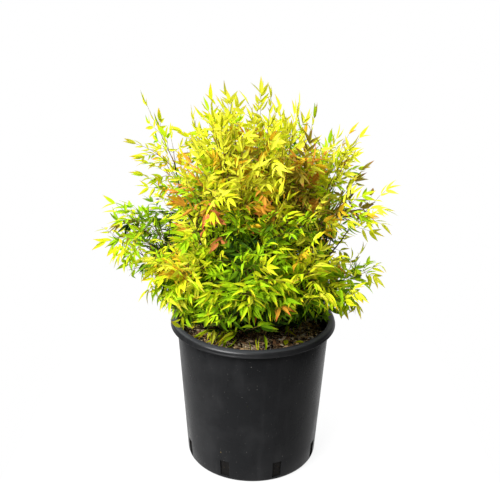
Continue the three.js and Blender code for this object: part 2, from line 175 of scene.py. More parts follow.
class Finish:
    """A material with one Principled BSDF, and a wire of its Object coordinates to start patterns from."""

    def __init__(self, name, **plain):
        self.material = bpy.data.materials.new(name)
        self.material.use_nodes = True
        self.tree = self.material.node_tree
        self.surface = self.tree.nodes["Principled BSDF"]
        self.place = Wire(self.tree).node("ShaderNodeTexCoord", output="Object")
        for socket, value in plain.items():
            self.surface.inputs[socket.replace("_", " ")].default_value = value

    def feed(self, socket, wire):
        self.tree.links.new(wire.socket, self.surface.inputs[socket])


print("wires ready")

# %% [markdown]
# ## From bmesh to piece
#
# Every piece ends the same way: its bmesh becomes an object at the origin, it gets its finishes, and it
# rides on the plant's one body.

# %% Define how a shape becomes a piece
BODY = "root"


def ride_as(name, mesh, finishes, replaced=()):
    """Puts a finished mesh into the scene as a piece, in place of the nodes it replaces."""
    for finish in finishes:
        mesh.materials.append(finish.material)
    piece = bpy.data.objects.new(name, mesh)
    bpy.context.scene.collection.objects.link(piece)
    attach(piece, BODY)
    if replaced:
        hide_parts(*replaced)
    return piece


def mesh_of(name, shape):
    """A smooth mesh with the bmesh's shape, which is then let go."""
    for face in shape.faces:
        face.smooth = True
    mesh = bpy.data.meshes.new(name)
    shape.to_mesh(mesh)
    shape.free()
    return mesh


print("pieces will ride on", BODY)

# %% [markdown]
# ## Floor and light
#
# The plant stands before the white wall of a studio, and the room on the other side is dim. So the pot
# stays dark in front and its rim and sides, which mirror the wall, turn grey. The camera always sees pure
# white behind the plant. Two broad suns act as ceiling banks: one in front on the left, and one behind,
# which makes the top leaves glow. The floor is a light table: it glows an even white, which leaves only a
# faint shadow under the pot.

# %% Make the floor and the lights
WHITE = (1, 1, 1, 1)
FLOOR_SIZE = 0.9
FLOOR_GREY = (0.08, 0.08, 0.08, 1)  # of the table's glass, which takes a faint shadow
FLOOR_GLOW = 0.90
BACKDROP_STRENGTH = 1.0
WALL_STRENGTH = 0.60  # of the light from the white wall behind the plant
ROOM_STRENGTH = 0.14  # of the light from the room in front of it
WALL_EDGES = (0.25, 0.90)  # where the room gives way to the wall, as the y of a direction
# name: where it shines from, strength, and how broad it is in degrees
BANKS = {
    "front_bank": ((-0.80, -0.82, 1.0), 8.7, 40),
    "back_bank": ((-0.20, 0.50, 1.0), 4.2, 46),
}
BANK_DISTANCE = 2
LIGHT_TARGET = Vector((0.0, 0.0, 0.35))


def make_floor():
    shape = bmesh.new()
    bmesh.ops.create_grid(shape, x_segments=1, y_segments=1, size=FLOOR_SIZE / 2)
    mesh = mesh_of("floor", shape)
    floor = bpy.data.objects.new("floor", mesh)
    bpy.context.scene.collection.objects.link(floor)
    paint = Finish("floor_paint", Base_Color=FLOOR_GREY, Roughness=0.9, Specular_IOR_Level=0.0)
    paint.surface.inputs["Emission Color"].default_value = WHITE
    paint.surface.inputs["Emission Strength"].default_value = FLOOR_GLOW
    mesh.materials.append(paint.material)


def hang_bank(name, direction, strength, breadth):
    """A broad sun that shines on the plant from a direction."""
    data = bpy.data.lights.new(name, "SUN")
    data.energy = strength
    data.angle = math.radians(breadth)
    bank = bpy.data.objects.new(name, data)
    bpy.context.scene.collection.objects.link(bank)
    bank.location = LIGHT_TARGET + BANK_DISTANCE * Vector(direction)
    bank.rotation_euler = Vector(direction).to_track_quat("Z", "Y").to_euler()


def make_world():
    world = bpy.data.worlds.new("white_studio")
    world.use_nodes = True
    tree = world.node_tree
    seen = Wire(tree).node("ShaderNodeLightPath", output="Is Camera Ray")
    direction = Wire(tree).node("ShaderNodeTexCoord", output="Generated")
    glow = direction.part(1).between(*WALL_EDGES) * (WALL_STRENGTH - ROOM_STRENGTH) + ROOM_STRENGTH
    strength = seen * BACKDROP_STRENGTH + (1 - seen) * glow
    background = tree.nodes["Background"]
    background.inputs["Color"].default_value = WHITE
    tree.links.new(strength.socket, background.inputs["Strength"])
    bpy.context.scene.world = world


make_floor()
make_world()
for name, (direction, strength, breadth) in BANKS.items():
    hang_bank(name, direction, strength, breadth)
bpy.context.scene.view_settings.view_transform = "Standard"
print(len(BANKS), "banks of light in a white world")

# %% [markdown]
# ## Pot
#
# A nursery pot is moulded in one thin wall: floor, taper, and a rim that turns out and down. So its inside
# line is spun into a sheet, the drain slots are opened by taking faces out, and a Solidify modifier gives
# the sheet its wall. The spin has as many steps as make a slot exactly three faces wide. A Bevel softens
# the cut edges.

# %% Size the pot
POT_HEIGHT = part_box("pot")[1].z
POT_BASE_RADIUS = 0.1215
POT_MOUTH_RADIUS = 0.1395
POT_WALL = 0.0022
RIM_RADIUS = 0.150
RIM_DROP = 0.0105
RIM_ROUND = 0.0060
RIM_BEAD = 0.0009  # how far the rim's lower edge stands out
FOOT_ROUND = 0.005
ROUND_STEPS = 4  # of each quarter round
SLOT_COUNT = 8
SLOT_STEPS = 17  # of the spin from one slot to the next
SLOT_FACES = (7, 8, 9)  # those that are open
SLOT_LOW = 0.008
SLOT_HIGH = 0.040


def wall_radius(z):
    """The outside of the wall at a height."""
    return POT_BASE_RADIUS + (POT_MOUTH_RADIUS - POT_BASE_RADIUS) * z / POT_HEIGHT


def quarter(x, z, radius, first, last):
    """Points of a quarter round about a centre, between two angles in degrees."""
    angles = np.radians(np.linspace(first, last, ROUND_STEPS + 1))
    return [(x + radius * math.cos(a), z + radius * math.sin(a)) for a in angles]


print("pot", round(POT_HEIGHT, 3), "m high")

# %% Draw the pot's inside line
WALL_HEIGHTS = (SLOT_LOW, SLOT_HIGH, 0.10, 0.16, 0.22)  # where the wall has rings of corners


def inside_radius(z):
    return wall_radius(z) - POT_WALL


def pot_line():
    """The inside of the pot from the middle of its floor to the lower edge of its rim."""
    foot = inside_radius(POT_WALL) - FOOT_ROUND
    mouth = inside_radius(POT_HEIGHT)
    edge = POT_WALL / 2
    line = [(0.0, POT_WALL), (foot / 2, POT_WALL)]
    line += quarter(foot, POT_WALL + FOOT_ROUND, FOOT_ROUND, -90, 0)
    line += [(inside_radius(z), z) for z in WALL_HEIGHTS]
    line += quarter(mouth + edge, POT_HEIGHT - edge, edge, 180, 90)
    face = RIM_RADIUS - RIM_BEAD
    line += quarter(face - RIM_ROUND, POT_HEIGHT - RIM_ROUND, RIM_ROUND, 90, 0)
    low = POT_HEIGHT - RIM_DROP
    line += [(face, low + 3 * RIM_BEAD), (RIM_RADIUS, low + 2 * RIM_BEAD), (RIM_RADIUS, low)]
    return line


print("the pot's line has", len(pot_line()), "points")

# %% Spin the line and open the slots
MERGE_DISTANCE = 1e-6


def spun(line, steps):
    """A line in the plane of radius and height, spun round the upright axis from the front."""
    shape = bmesh.new()
    points = [shape.verts.new((0.0, -r, z)) for r, z in line]
    edges = [shape.edges.new(pair) for pair in zip(points, points[1:])]
    bmesh.ops.spin(
        shape,
        geom=points + edges,
        cent=(0, 0, 0),
        axis=(0, 0, 1),
        angle=2 * math.pi,
        steps=steps,
        use_merge=True,
    )
    bmesh.ops.remove_doubles(shape, verts=shape.verts, dist=MERGE_DISTANCE)
    bmesh.ops.recalc_face_normals(shape, faces=shape.faces)
    return shape


def in_slot(face):
    """True for a face of the wall where a drain slot is."""
    middle = face.calc_center_median()
    if not SLOT_LOW < middle.z < SLOT_HIGH:
        return False
    turn = math.atan2(middle.y, middle.x) / (2 * math.pi) + 0.25  # from the front, as a share of a turn
    step = int((turn % 1.0) * SLOT_COUNT * SLOT_STEPS) % SLOT_STEPS
    return step in SLOT_FACES


def make_pot_shape():
    """The spun sheet, facing up inside, with its slots open."""
    shape = spun(pot_line(), SLOT_COUNT * SLOT_STEPS)
    shape.faces.ensure_lookup_table()
    lowest = min(shape.faces, key=lambda face: face.calc_center_median().z)
    if lowest.normal.z < 0:
        bmesh.ops.reverse_faces(shape, faces=shape.faces)
    open_faces = [face for face in shape.faces if in_slot(face)]
    bmesh.ops.delete(shape, geom=open_faces, context="FACES")
    print("pot:", len(open_faces), "faces taken out for", SLOT_COUNT, "slots")
    return shape


# %% [markdown]
# ### Black plastic
#
# Moulded polypropylene is nearly black with a satin shine. Handling leaves faint grey dust, a few pale
# specks, splashes of dried mix and duller patches, and the mould leaves a very fine grain. The top of the
# rim is painted a lighter grey, a painted sheen where it catches the light.
# The patterns read Object coordinates in metres, so that they keep their size on a pot of any size.

# %% Mix the pot's finish
SPLASHES = ((-0.0888, -0.0940, 0.063), (-0.0545, -0.1140, 0.058), (-0.0700, -0.1050, 0.035))
RIM_POLISH_HEIGHTS = (0.263, 0.266)  # the rim is handled, so it shines more
RIM_POLISH = 0.38
RIM_PAINTED_SHEEN_HEIGHTS = (0.2735, 0.2755)  # painted sheen: the top of the rim is painted a lighter grey where it catches the light
SPLASH_EDGES = (0.0009, 0.0016)  # metres from the middle of a splash of mix
# patterns: features to a metre, detail, and the edges that the clouds are cut between
DUST = (16.0, 5.0, 0.42, 0.78)
STREAKS = (60.0, 3.0, 0.5, 0.8)
SPECKS = (420.0, 2.0, 0.735, 0.775)
UPRIGHT = (1, 1, 0.12)  # the stretch of patterns that run up and down
# how far each pattern covers what is under it
DUST_COVER = 0.5
STREAK_COVER = 0.35
SPECK_COVER = 0.6
PAINTED_SHEEN_COVER = 0.85
SATIN = 0.27  # the roughness of clean plastic, and what dust and streaks add to it
DUST_ROUGHNESS = 0.12
STREAK_ROUGHNESS = 0.08
PLASTIC_SHINE = 0.05
POLISH_ROUGHNESS = 0.32
GRAIN_SCALE = 1500.0
GRAIN_DEPTH = 0.00025
GRAIN_STRENGTH = 0.35
PLASTIC_BLACK = (0.0082, 0.0084, 0.0090, 1)
PLASTIC_GREY = (0.021, 0.021, 0.022, 1)
PAINTED_SHEEN_GREY = (0.046, 0.048, 0.052, 1)
PALE_DUST = (0.30, 0.29, 0.27, 1)
DRIED_MIX = (0.40, 0.29, 0.12, 1)


def black_plastic():
    finish = Finish("pot_plastic", Specular_IOR_Level=PLASTIC_SHINE, Coat_Roughness=POLISH_ROUGHNESS)
    dust = finish.place.patches(*DUST)
    streaks = finish.place.patches(*STREAKS, stretch=UPRIGHT)
    specks = finish.place.patches(*SPECKS)
    worn = (dust * DUST_COVER + streaks * STREAK_COVER).blend(PLASTIC_BLACK, PLASTIC_GREY)
    splashed = 1 - finish.place.distance(SPLASHES[0]).between(*SPLASH_EDGES)
    for splash in SPLASHES[1:]:
        splashed = splashed + (1 - finish.place.distance(splash).between(*SPLASH_EDGES))
    specked = (specks * SPECK_COVER).blend(worn, PALE_DUST)
    height = finish.place.part(2)
    # painted sheen: the top of the rim is painted a lighter grey, where the light catches it
    sheen_painted = (height.between(*RIM_PAINTED_SHEEN_HEIGHTS) * PAINTED_SHEEN_COVER).blend(specked, PAINTED_SHEEN_GREY)
    finish.feed("Base Color", splashed.blend(sheen_painted, DRIED_MIX))
    finish.feed("Roughness", dust * DUST_ROUGHNESS + streaks * STREAK_ROUGHNESS + SATIN)
    finish.feed("Coat Weight", height.between(*RIM_POLISH_HEIGHTS) * RIM_POLISH)
    grain = finish.place.clouds(GRAIN_SCALE, detail=2.0)
    finish.feed("Normal", grain.relief(GRAIN_DEPTH, GRAIN_STRENGTH))
    return finish


print(len(SPLASHES), "splashes of mix on the plastic")

# %% Make the pot
EDGE_ROUND = 0.0005
EDGE_ANGLE = math.radians(50)


def make_pot():
    mesh = mesh_of("nursery_pot", make_pot_shape())
    pot = ride_as("nursery_pot", mesh, [black_plastic()], ["pot"])
    wall = pot.modifiers.new("wall", "SOLIDIFY")
    wall.thickness = POT_WALL
    wall.offset = -1
    wall.use_even_offset = True
    edges = pot.modifiers.new("soft_edges", "BEVEL")
    edges.width = EDGE_ROUND
    edges.segments = 2
    edges.limit_method = "ANGLE"
    edges.angle_limit = EDGE_ANGLE


make_pot()
print("pot made")

# %% [markdown]
# ## Joined copies
#
# Bark chips, straws, twigs and leaflets come in thousands. Each kind starts as one small template, shaped
# with bmesh. numpy then works out where every corner of every copy goes, all at once, and the copies become
# one mesh.

# %% Read a template
class Template:
    """One small shape, as arrays that copies are made from."""

    def __init__(self, shape):
        mesh = bpy.data.meshes.new("template")
        shape.to_mesh(mesh)
        shape.free()
        self.corners = read(mesh.vertices, "co", 3, np.float32)
        self.edges = read(mesh.edges, "vertices", 2, np.int32)
        self.sharp = read(mesh.edges, "use_edge_sharp", 1, bool)
        self.loop_corners = read(mesh.loops, "vertex_index", 1, np.int32)
        self.loop_edges = read(mesh.loops, "edge_index", 1, np.int32)
        self.starts = read(mesh.polygons, "loop_start", 1, np.int32)
        self.finishes = read(mesh.polygons, "material_index", 1, np.int32)
        mesh.calc_loop_triangles()
        self.triangles = len(mesh.loop_triangles)
        bpy.data.meshes.remove(mesh)


def read(items, name, width, kind):
    """A property of all of a mesh's items as one array."""
    values = np.empty(len(items) * width, kind)
    items.foreach_get(name, values)
    return values.reshape(-1, width) if width > 1 else values


print("templates ready")

# %% Join copies of a template
def joined(name, template, corners, finishes=None):
    """One mesh of copies of a template, whose corners are at (copy, corner, 3)."""
    count = len(corners)
    mesh = bpy.data.meshes.new(name)

    def repeated(values, step):
        shift = np.arange(count, dtype=np.int32)[:, None] * step
        return (values.ravel()[None, :] + shift).ravel()

    mesh.vertices.add(count * len(template.corners))
    mesh.edges.add(count * len(template.edges))
    mesh.loops.add(count * len(template.loop_corners))
    mesh.polygons.add(count * len(template.starts))
    mesh.vertices.foreach_set("co", np.ascontiguousarray(corners, np.float32).ravel())
    mesh.edges.foreach_set("vertices", repeated(template.edges, len(template.corners)))
    mesh.loops.foreach_set("vertex_index", repeated(template.loop_corners, len(template.corners)))
    mesh.loops.foreach_set("edge_index", repeated(template.loop_edges, len(template.edges)))
    mesh.polygons.foreach_set("loop_start", repeated(template.starts, len(template.loop_corners)))
    if finishes is None:
        finishes = np.tile(template.finishes, (count, 1))
    mesh.polygons.foreach_set("material_index", np.ascontiguousarray(finishes, np.int32).ravel())
    mesh.edges.foreach_set("use_edge_sharp", np.tile(template.sharp, count))
    mesh.update()
    mesh.validate()
    return mesh


print("copies ready")

# %% Reckon with rows of directions
def unit(vectors):
    return vectors / np.linalg.norm(vectors, axis=-1, keepdims=True)


def dot(first, second):
    return (first * second).sum(axis=-1, keepdims=True)


UP = np.array((0.0, 0.0, 1.0))
SIDEWAYS = np.array((1.0, 0.0, 0.0))


def square_to(axis, wanted):
    """Unit vectors square to the axes, as near to the wanted ones as can be."""
    part = wanted - axis * dot(wanted, axis)
    spare = SIDEWAYS - axis * dot(SIDEWAYS, axis)
    return unit(np.where(dot(part, part) > 1e-6, part, spare))


def tipped(axis, side, degrees):
    """The axes tipped by angles towards sides that are square to them."""
    angle = np.radians(degrees)[..., None]
    return axis * np.cos(angle) + side * np.sin(angle)


print("up is", UP)

# %% [markdown]
# ### Tubes for straws, canes and twigs
#
# A twig is a cylinder with rings of corners along it, carried onto a curve: each corner's height picks a
# point of the curve, and its place in the ring is measured off square to the curve there.

# %% Shape a tube
def tube_shape(sides, rings):
    """An upright cylinder of radius 1 from height 0 to 1, with rings along it."""
    shape = bmesh.new()
    bmesh.ops.create_cone(shape, cap_ends=True, segments=sides, radius1=1, radius2=1, depth=1)
    bmesh.ops.translate(shape, verts=shape.verts, vec=(0, 0, 0.5))
    upright = [edge for edge in shape.edges if abs(edge.verts[0].co.z - edge.verts[1].co.z) > 0.5]
    bmesh.ops.subdivide_edges(shape, edges=upright, cuts=rings - 1)
    for face in shape.faces:
        face.smooth = len(face.verts) == 4 and abs(face.normal.z) < 0.5
    for edge in shape.edges:
        edge.smooth = all(face.smooth for face in edge.link_faces)
    return shape


print("tubes are smooth, with sharp ends")

# %% Carry tubes along curves
class Bend:
    """A quadratic curve from a start to an end, drawn towards a bend. Each may hold rows of points."""

    def __init__(self, start, bend, end):
        self.start = start
        self.bend = bend
        self.end = end

    def point(self, t):
        t = np.asarray(t)[..., None]
        return self.start * (1 - t) ** 2 + self.bend * 2 * t * (1 - t) + self.end * t**2

    def tangent(self, t):
        t = np.asarray(t)[..., None]
        return unit((self.bend - self.start) * (1 - t) + (self.end - self.bend) * t)


def rows_of(curves):
    """Many curves as one, with a row for each."""
    return Bend(*(
        np.array([getattr(curve, part) for curve in curves])[:, None]
        for part in ("start", "bend", "end")
    ))


STEEP_CHORD = 0.7  # curves that climb more than this are framed from the side


def along_bends(template, line, radii):
    """The corners of tubes along rows of curves. radii(t, angle) is how far a corner is from its curve."""
    x, y, t = template.corners.T
    tangents = line.tangent(t)
    chord = unit(line.end - line.start)
    reference = np.where(np.abs(chord[..., 2:]) > STEEP_CHORD, SIDEWAYS, UP)
    across = square_to(tangents, reference)
    radius = radii(t, np.arctan2(y, x))[:, None]
    return line.point(t) + radius * (across * x[:, None] + np.cross(tangents, across) * y[:, None])


def make_smooth(mesh):
    """Smooth shading on everything but the edges that the template marks as sharp."""
    mesh.polygons.foreach_set("use_smooth", np.ones(len(mesh.polygons), bool))


print("curves ready")

# %% [markdown]
# ## Potting mix
#
# The fill is composted bark: dark crumbs with chips of every brown, a few straws and pale bits. Its body is
# spun like the pot, with a lumpy top, and shows through the drain slots. The chips and straws are joined
# copies that lie on it, dealt out in a handful of plain browns.

# %% Spin the body of the mix
MIX_LEVEL = 0.243
MIX_EDGE_SINK = 0.005
MIX_FLAT_SHARE = 0.84
MIX_GAP = 0.0003  # between the mix and the wall
MIX_STEPS = 120
MIX_RINGS = 26
MIX_LUMPS = 0.0028
MIX_LUMP_SCALE = 90.0
MIX_CRUMB_SCALE = 2.7  # of the finer lumps against the coarse ones, which are twice as high
MIX_RADIUS = inside_radius(MIX_LEVEL - MIX_EDGE_SINK) - MIX_GAP


def mix_height(x, y):
    """The top of the mix, with its lumps, at a place."""
    share = math.hypot(x, y) / MIX_RADIUS
    fall = min(max((share - MIX_FLAT_SHARE) / (1 - MIX_FLAT_SHARE), 0.0), 1.0)
    coarse = noise.noise(Vector((x, y, 0.0)) * MIX_LUMP_SCALE)
    fine = noise.noise(Vector((x, y, 3.0)) * MIX_LUMP_SCALE * MIX_CRUMB_SCALE)
    return MIX_LEVEL - MIX_EDGE_SINK * fall + MIX_LUMPS * (coarse + 0.5 * fine)


def make_mix_shape():
    low = POT_WALL + MIX_GAP
    foot = low + FOOT_ROUND
    edge = MIX_LEVEL - MIX_EDGE_SINK
    line = [(0.0, low), (inside_radius(low) - FOOT_ROUND, low), (inside_radius(foot) - MIX_GAP, foot)]
    line += [(MIX_RADIUS * share, edge) for share in np.linspace(1, 0, MIX_RINGS)]
    shape = spun(line, MIX_STEPS)
    for corner in shape.verts:
        if corner.co.z > edge - MIX_GAP / 2:
            corner.co.z = mix_height(corner.co.x, corner.co.y)
    return shape


print("mix", MIX_LEVEL, "m deep and", round(MIX_RADIUS, 4), "m in radius")

# %% Mix the crumbs' finish and make the body of the mix
SHADE_PAINT_HEIGHTS = (0.18, 0.23)  # painted shade: the mix is painted darker below, where it shows through the slots, and has its own colour above
CRUMB_SCALE = 260.0
CRUMB_DEPTH = 0.002
DRY_EDGES = (0.42, 0.72)  # of the paler crumbs among the mix above
SHADED_CRUMB_EDGES = (0.60, 0.72)  # of those among the mix painted darker below, which are fewer
DRY_UMBER = (0.016, 0.010, 0.007, 1)
DRY_BROWN = (0.110, 0.064, 0.036, 1)
SHADED_MIX_BLACK = (0.0022, 0.0015, 0.0010, 1)
SHADED_MIX_BROWN = (0.050, 0.034, 0.014, 1)


def mix_finish():
    finish = Finish("mix_body", Roughness=0.95, Specular_IOR_Level=0.2)
    crumbs = finish.place.clouds(CRUMB_SCALE, detail=6.0, roughness=0.7)
    dry = crumbs.between(*DRY_EDGES).blend(DRY_UMBER, DRY_BROWN)
    shaded_low = crumbs.between(*SHADED_CRUMB_EDGES).blend(SHADED_MIX_BLACK, SHADED_MIX_BROWN)
    height = finish.place.part(2)
    # painted shade: the lower mix, seen through the drain slots, is painted darker
    finish.feed("Base Color", height.between(*SHADE_PAINT_HEIGHTS).blend(shaded_low, dry))
    finish.feed("Normal", crumbs.relief(CRUMB_DEPTH))
    return finish


ride_as("mix_body", mesh_of("mix_body", make_mix_shape()), [mix_finish()], ["potting_mix"])
print("mix body made")

# %% Shape a bark chip
CHIP_COUNT = 4200
CHIP_KINDS = 4
CHIP_LENGTHS = (0.0040, 0.017)
CHIP_WIDTH_SHARES = (0.25, 0.7)
CHIP_THICK_SHARES = (0.12, 0.35)
CHIP_SIDES = 5
CHIP_ENDS = (0.5, 0.34)  # radius at either end of a chip that is 1 long
CHIP_KNOCKS = 0.28
CHIP_KNOCK_SCALE = 1.7
CHIP_KNOCK_STEP = 5.1  # through the noise from one kind of chip to the next
CHIP_TILT = 0.55
CHIP_BROWNS = {
    "umber": (0.022, 0.014, 0.009, 1),
    "bark": (0.120, 0.066, 0.034, 1),
    "russet": (0.250, 0.125, 0.055, 1),
    "tan": (0.480, 0.310, 0.150, 1),
    "straw": (0.780, 0.640, 0.420, 1),
    "ash": (0.480, 0.420, 0.360, 1),
}
CHIP_SHARES = (0.30, 0.24, 0.18, 0.15, 0.07, 0.06)
MIX_SEED = 7
chance_of_mix = np.random.default_rng(MIX_SEED)
noise.seed_set(MIX_SEED)  # noise vectors start from a seed too


def chip_shape(number):
    """A split bark chip, 1 long: a five-sided splinter with its corners knocked about."""
    shape = bmesh.new()
    lying = Matrix.Rotation(math.pi / 2, 4, "Y")
    wide, narrow = CHIP_ENDS
    bmesh.ops.create_cone(
        shape,
        cap_ends=True,
        segments=CHIP_SIDES,
        radius1=wide,
        radius2=narrow,
        depth=1,
        matrix=lying,
    )
    step = Vector((number * CHIP_KNOCK_STEP, 0, 0))
    for corner in shape.verts:
        corner.co += noise.noise_vector(corner.co * CHIP_KNOCK_SCALE + step) * CHIP_KNOCKS
    bmesh.ops.triangulate(shape, faces=shape.faces)
    return shape


chips = [Template(chip_shape(number)) for number in range(CHIP_KINDS)]
print(CHIP_KINDS, "kinds of chip of", chips[0].triangles, "triangles")

# %% Scatter the bark chips
MATT_SHINE = 0.25


def turned_frames(count, tilt, draws):
    """Right-handed frames (count, 3, 3) at any turn about the upright, tipped by up to a tilt."""
    turn = draws.uniform(0, 2 * math.pi, count)
    lean = draws.normal(0, tilt, (count, 2))
    normal = unit(np.stack([lean[:, 0], lean[:, 1], np.ones(count)], axis=1))
    ahead = np.stack([np.cos(turn), np.sin(turn), np.zeros(count)], axis=1)
    ahead = unit(ahead - normal * dot(ahead, normal))
    return np.stack([ahead, np.cross(normal, ahead), normal], axis=1)


def scattered(count, draws, margin):
    """Places on the top of the mix, evenly over its area."""
    radius = (MIX_RADIUS - margin) * np.sqrt(draws.uniform(0, 1, count))
    turn = draws.uniform(0, 2 * math.pi, count)
    x = radius * np.cos(turn)
    y = radius * np.sin(turn)
    z = np.array([mix_height(a, b) for a, b in zip(x, y)])
    return np.stack([x, y, z], axis=1)


def plain_finish(name, colour, roughness=0.9):
    return Finish(name, Base_Color=colour, Roughness=roughness, Specular_IOR_Level=MATT_SHINE)


def make_chips():
    for number, (colour, share) in enumerate(zip(CHIP_BROWNS.items(), CHIP_SHARES)):
        name, paint = colour
        count = int(CHIP_COUNT * share)
        template = chips[number % CHIP_KINDS]
        length = chance_of_mix.uniform(*CHIP_LENGTHS, count)
        width = length * chance_of_mix.uniform(*CHIP_WIDTH_SHARES, count)
        thickness = length * chance_of_mix.uniform(*CHIP_THICK_SHARES, count)
        size = np.stack([length, width, thickness], axis=1)
        frames = turned_frames(count, CHIP_TILT, chance_of_mix)
        places = scattered(count, chance_of_mix, length.max() / 2)
        corners = np.einsum("nvk,nkd->nvd", template.corners[None] * size[:, None], frames)
        mesh = joined(f"chips_{name}", template, corners + places[:, None])
        ride_as(f"chips_{name}", mesh, [plain_finish(f"chip_{name}", paint)])
    print(CHIP_COUNT, "bark chips in", len(CHIP_BROWNS), "browns")


make_chips()

# %% Lay the straws
STRAW_COUNT = 520
STRAW_LENGTHS = (0.010, 0.034)
STRAW_RADIUS = 0.00045
STRAW_RISE = 0.0035
STRAW_TILT = 0.12
STRAW_BOW = 0.5  # sideways at most, as a share of half its length
STRAW_ENDS = (1.1, 0.6)  # of its radius
STRAW_TAN = (0.56, 0.42, 0.24, 1)


def make_straws():
    template = Template(tube_shape(sides=4, rings=4))
    middles = scattered(STRAW_COUNT, chance_of_mix, STRAW_LENGTHS[1] / 2)
    frames = turned_frames(STRAW_COUNT, STRAW_TILT, chance_of_mix)
    half = chance_of_mix.uniform(*STRAW_LENGTHS, STRAW_COUNT)[:, None] / 2
    middles[:, 2] += STRAW_RISE / 2
    bow = frames[:, 1] * half * chance_of_mix.uniform(-STRAW_BOW, STRAW_BOW, (STRAW_COUNT, 1))
    shifts = (-frames[:, 0] * half, bow + UP * STRAW_RISE, frames[:, 0] * half)
    line = Bend(*((middles + shift)[:, None] for shift in shifts))
    first, last = STRAW_ENDS
    corners = along_bends(template, line, lambda t, _angle: STRAW_RADIUS * (first + (last - first) * t))
    mesh = joined("straws", template, corners)
    make_smooth(mesh)
    ride_as("straws", mesh, [plain_finish("dry_straw", STRAW_TAN, roughness=0.7)])
    print(STRAW_COUNT, "straws")


make_straws()

# %% [markdown]
# ## Plan of the crown
#
# The crown is shared out by direction: seen from the foot of the clump, each mass has the directions nearer
# to its own than to any other mass's. The rule, its numbers and its draws are those of the solids, so that
# the fine foliage grows where they are. A draw depends only on the whole numbers that it is asked with.

# %% Name the crown's sizes
HEART = np.array((0.0, 0.0, MIX_LEVEL))  # the foot of the clump
CLEARANCE = 0.0003
CROWN_TOP_REACH = 0.462
CROWN_LOW_REACH = 0.215
CROWN_SKIRT = 16
SKIRT_TILT = 4
CROWN_FULLNESS = 0.75
CROWN_LEAN = np.array((-0.08, 0.06, 0.0))
# name: count, elevation and first turn in degrees
RINGS = {"top": (4, 77, 0), "upper": (7, 61, 26), "middle": (8, 43, 0), "lower": (9, 24, 0)}
# name: elevation, turn and reach of the shoots that stand out
LONG_SHOOTS = {
    "top_4": (87, 290, 0.468),
    "upper_1": (63, 24, 0.428),
    "upper_4": (66, 176, 0.480),
    "middle_1": (52, 350, 0.388),
    "middle_5": (46, 184, 0.372),
    "lower_1": (28, 8, 0.294),
    "lower_5": (31, 166, 0.373),
    "lower_9": (33, 318, 0.300),
}
REACH_SPREAD = 0.05
DIRECTION_SPREAD = 4
# no foliage grows towards one patch low down in front
BARE_ELEVATION = 8
BARE_TURN = -52
BARE_HALF_ANGLE = 21
WEDGE_MARGIN = 0.0006
POT_MARGIN = 0.002
GROWTH_SEED = 29
WORD = 0xFFFFFFFF  # draws are worked out in 32-bit whole numbers
KEY_SHIFT = 1013
FIRST_STIR = 0x85EBCA6B  # two large odd numbers that stir the bits of a draw
SECOND_STIR = 0xC2B2AE35


def chance(*keys):
    """A share from 0 to 1 that depends only on the seed and the keys. The last key tells draws apart."""
    h = GROWTH_SEED
    for key in keys:
        h = ((h ^ (key + KEY_SHIFT)) * FIRST_STIR) & WORD
        h ^= h >> 13
        h = (h * SECOND_STIR) & WORD
        h ^= h >> 16
    return h / 2**32


def about(middle, spread, *keys):
    return middle + spread * (2 * chance(*keys) - 1)


def heading(elevation, turn):
    e = math.radians(elevation)
    t = math.radians(turn)
    return np.array((math.cos(e) * math.cos(t), math.cos(e) * math.sin(t), math.sin(e)))


def crown_reach(out):
    """How far the crown reaches in these directions from the heart."""
    elevation = np.degrees(np.arcsin(out[..., 2]))
    share = np.maximum(elevation - CROWN_SKIRT, 0) / (90 - CROWN_SKIRT)
    reach = CROWN_LOW_REACH + (CROWN_TOP_REACH - CROWN_LOW_REACH) * share**CROWN_FULLNESS
    return reach * (1 + out @ CROWN_LEAN)


print("the crown reaches", CROWN_LOW_REACH, "m at its skirt and", CROWN_TOP_REACH, "m at its top")

# %% Plan the masses
class Mass:
    """One mass of foliage: its direction from the heart, its reach, and the walls of its wedge."""

    def __init__(self, number, name, out, boldness):
        self.number = number
        self.name = name
        self.ring = name.split("_")[0]
        self.out = out
        self.boldness = boldness
        self.reach = float(crown_reach(out) * boldness)


def crown_plan():
    plan = []
    for ring, (count, elevation, turn) in RINGS.items():
        for i in range(count):
            number = len(plan)
            name = f"{ring}_{i + 1}"
            if name in LONG_SHOOTS:
                tilt, bearing, reach = LONG_SHOOTS[name]
                out = heading(tilt, bearing)
                boldness = reach / crown_reach(out)
            else:
                tilt = about(elevation, DIRECTION_SPREAD, number, 1)
                out = heading(tilt, about(turn + 360 * i / count, DIRECTION_SPREAD, number, 2))
                boldness = about(1, REACH_SPREAD, number, 3)
            plan.append(Mass(number, name, out, boldness))
    for mass in plan:
        mass.walls = unit(np.array([mass.out - other.out for other in plan if other is not mass]))
    return plan


plan = crown_plan()
bare_patch = heading(BARE_ELEVATION, BARE_TURN)
print(len(plan), "masses planned")

# %% [markdown]
# ## Canes
#
# A cane rises straight out of the mix and then leans out to its foliage. Up close it is bamboo-like: a
# swollen ring wherever a leaf once stood, and rough bark that splits lengthwise. Both are real relief here:
# the corners of a fine tube are moved in and out by rings and furrows. The bark's colour is a procedural
# finish.

# %% Trace the canes' middle lines
CLUMP_RADIUS = 0.048
CLUMP_SPREAD = 0.8
CANE_UPRIGHT = 0.8
CANE_UPRIGHT_LOSS = 0.25
CANE_SHARE = 0.28


def cane_line(mass):
    level = math.hypot(mass.out[0], mass.out[1])
    foot = np.array((mass.out[0], mass.out[1], 0.0)) / level * CLUMP_RADIUS * level**CLUMP_SPREAD
    foot = foot + HEART + UP * CLEARANCE
    tip = HEART + mass.out * mass.reach * CANE_SHARE
    bend = foot + UP * (tip[2] - foot[2]) * (CANE_UPRIGHT - CANE_UPRIGHT_LOSS * level)
    return Bend(foot, bend, tip)


print("canes rise to", round(max(cane_line(mass).end[2] for mass in plan), 3), "m")

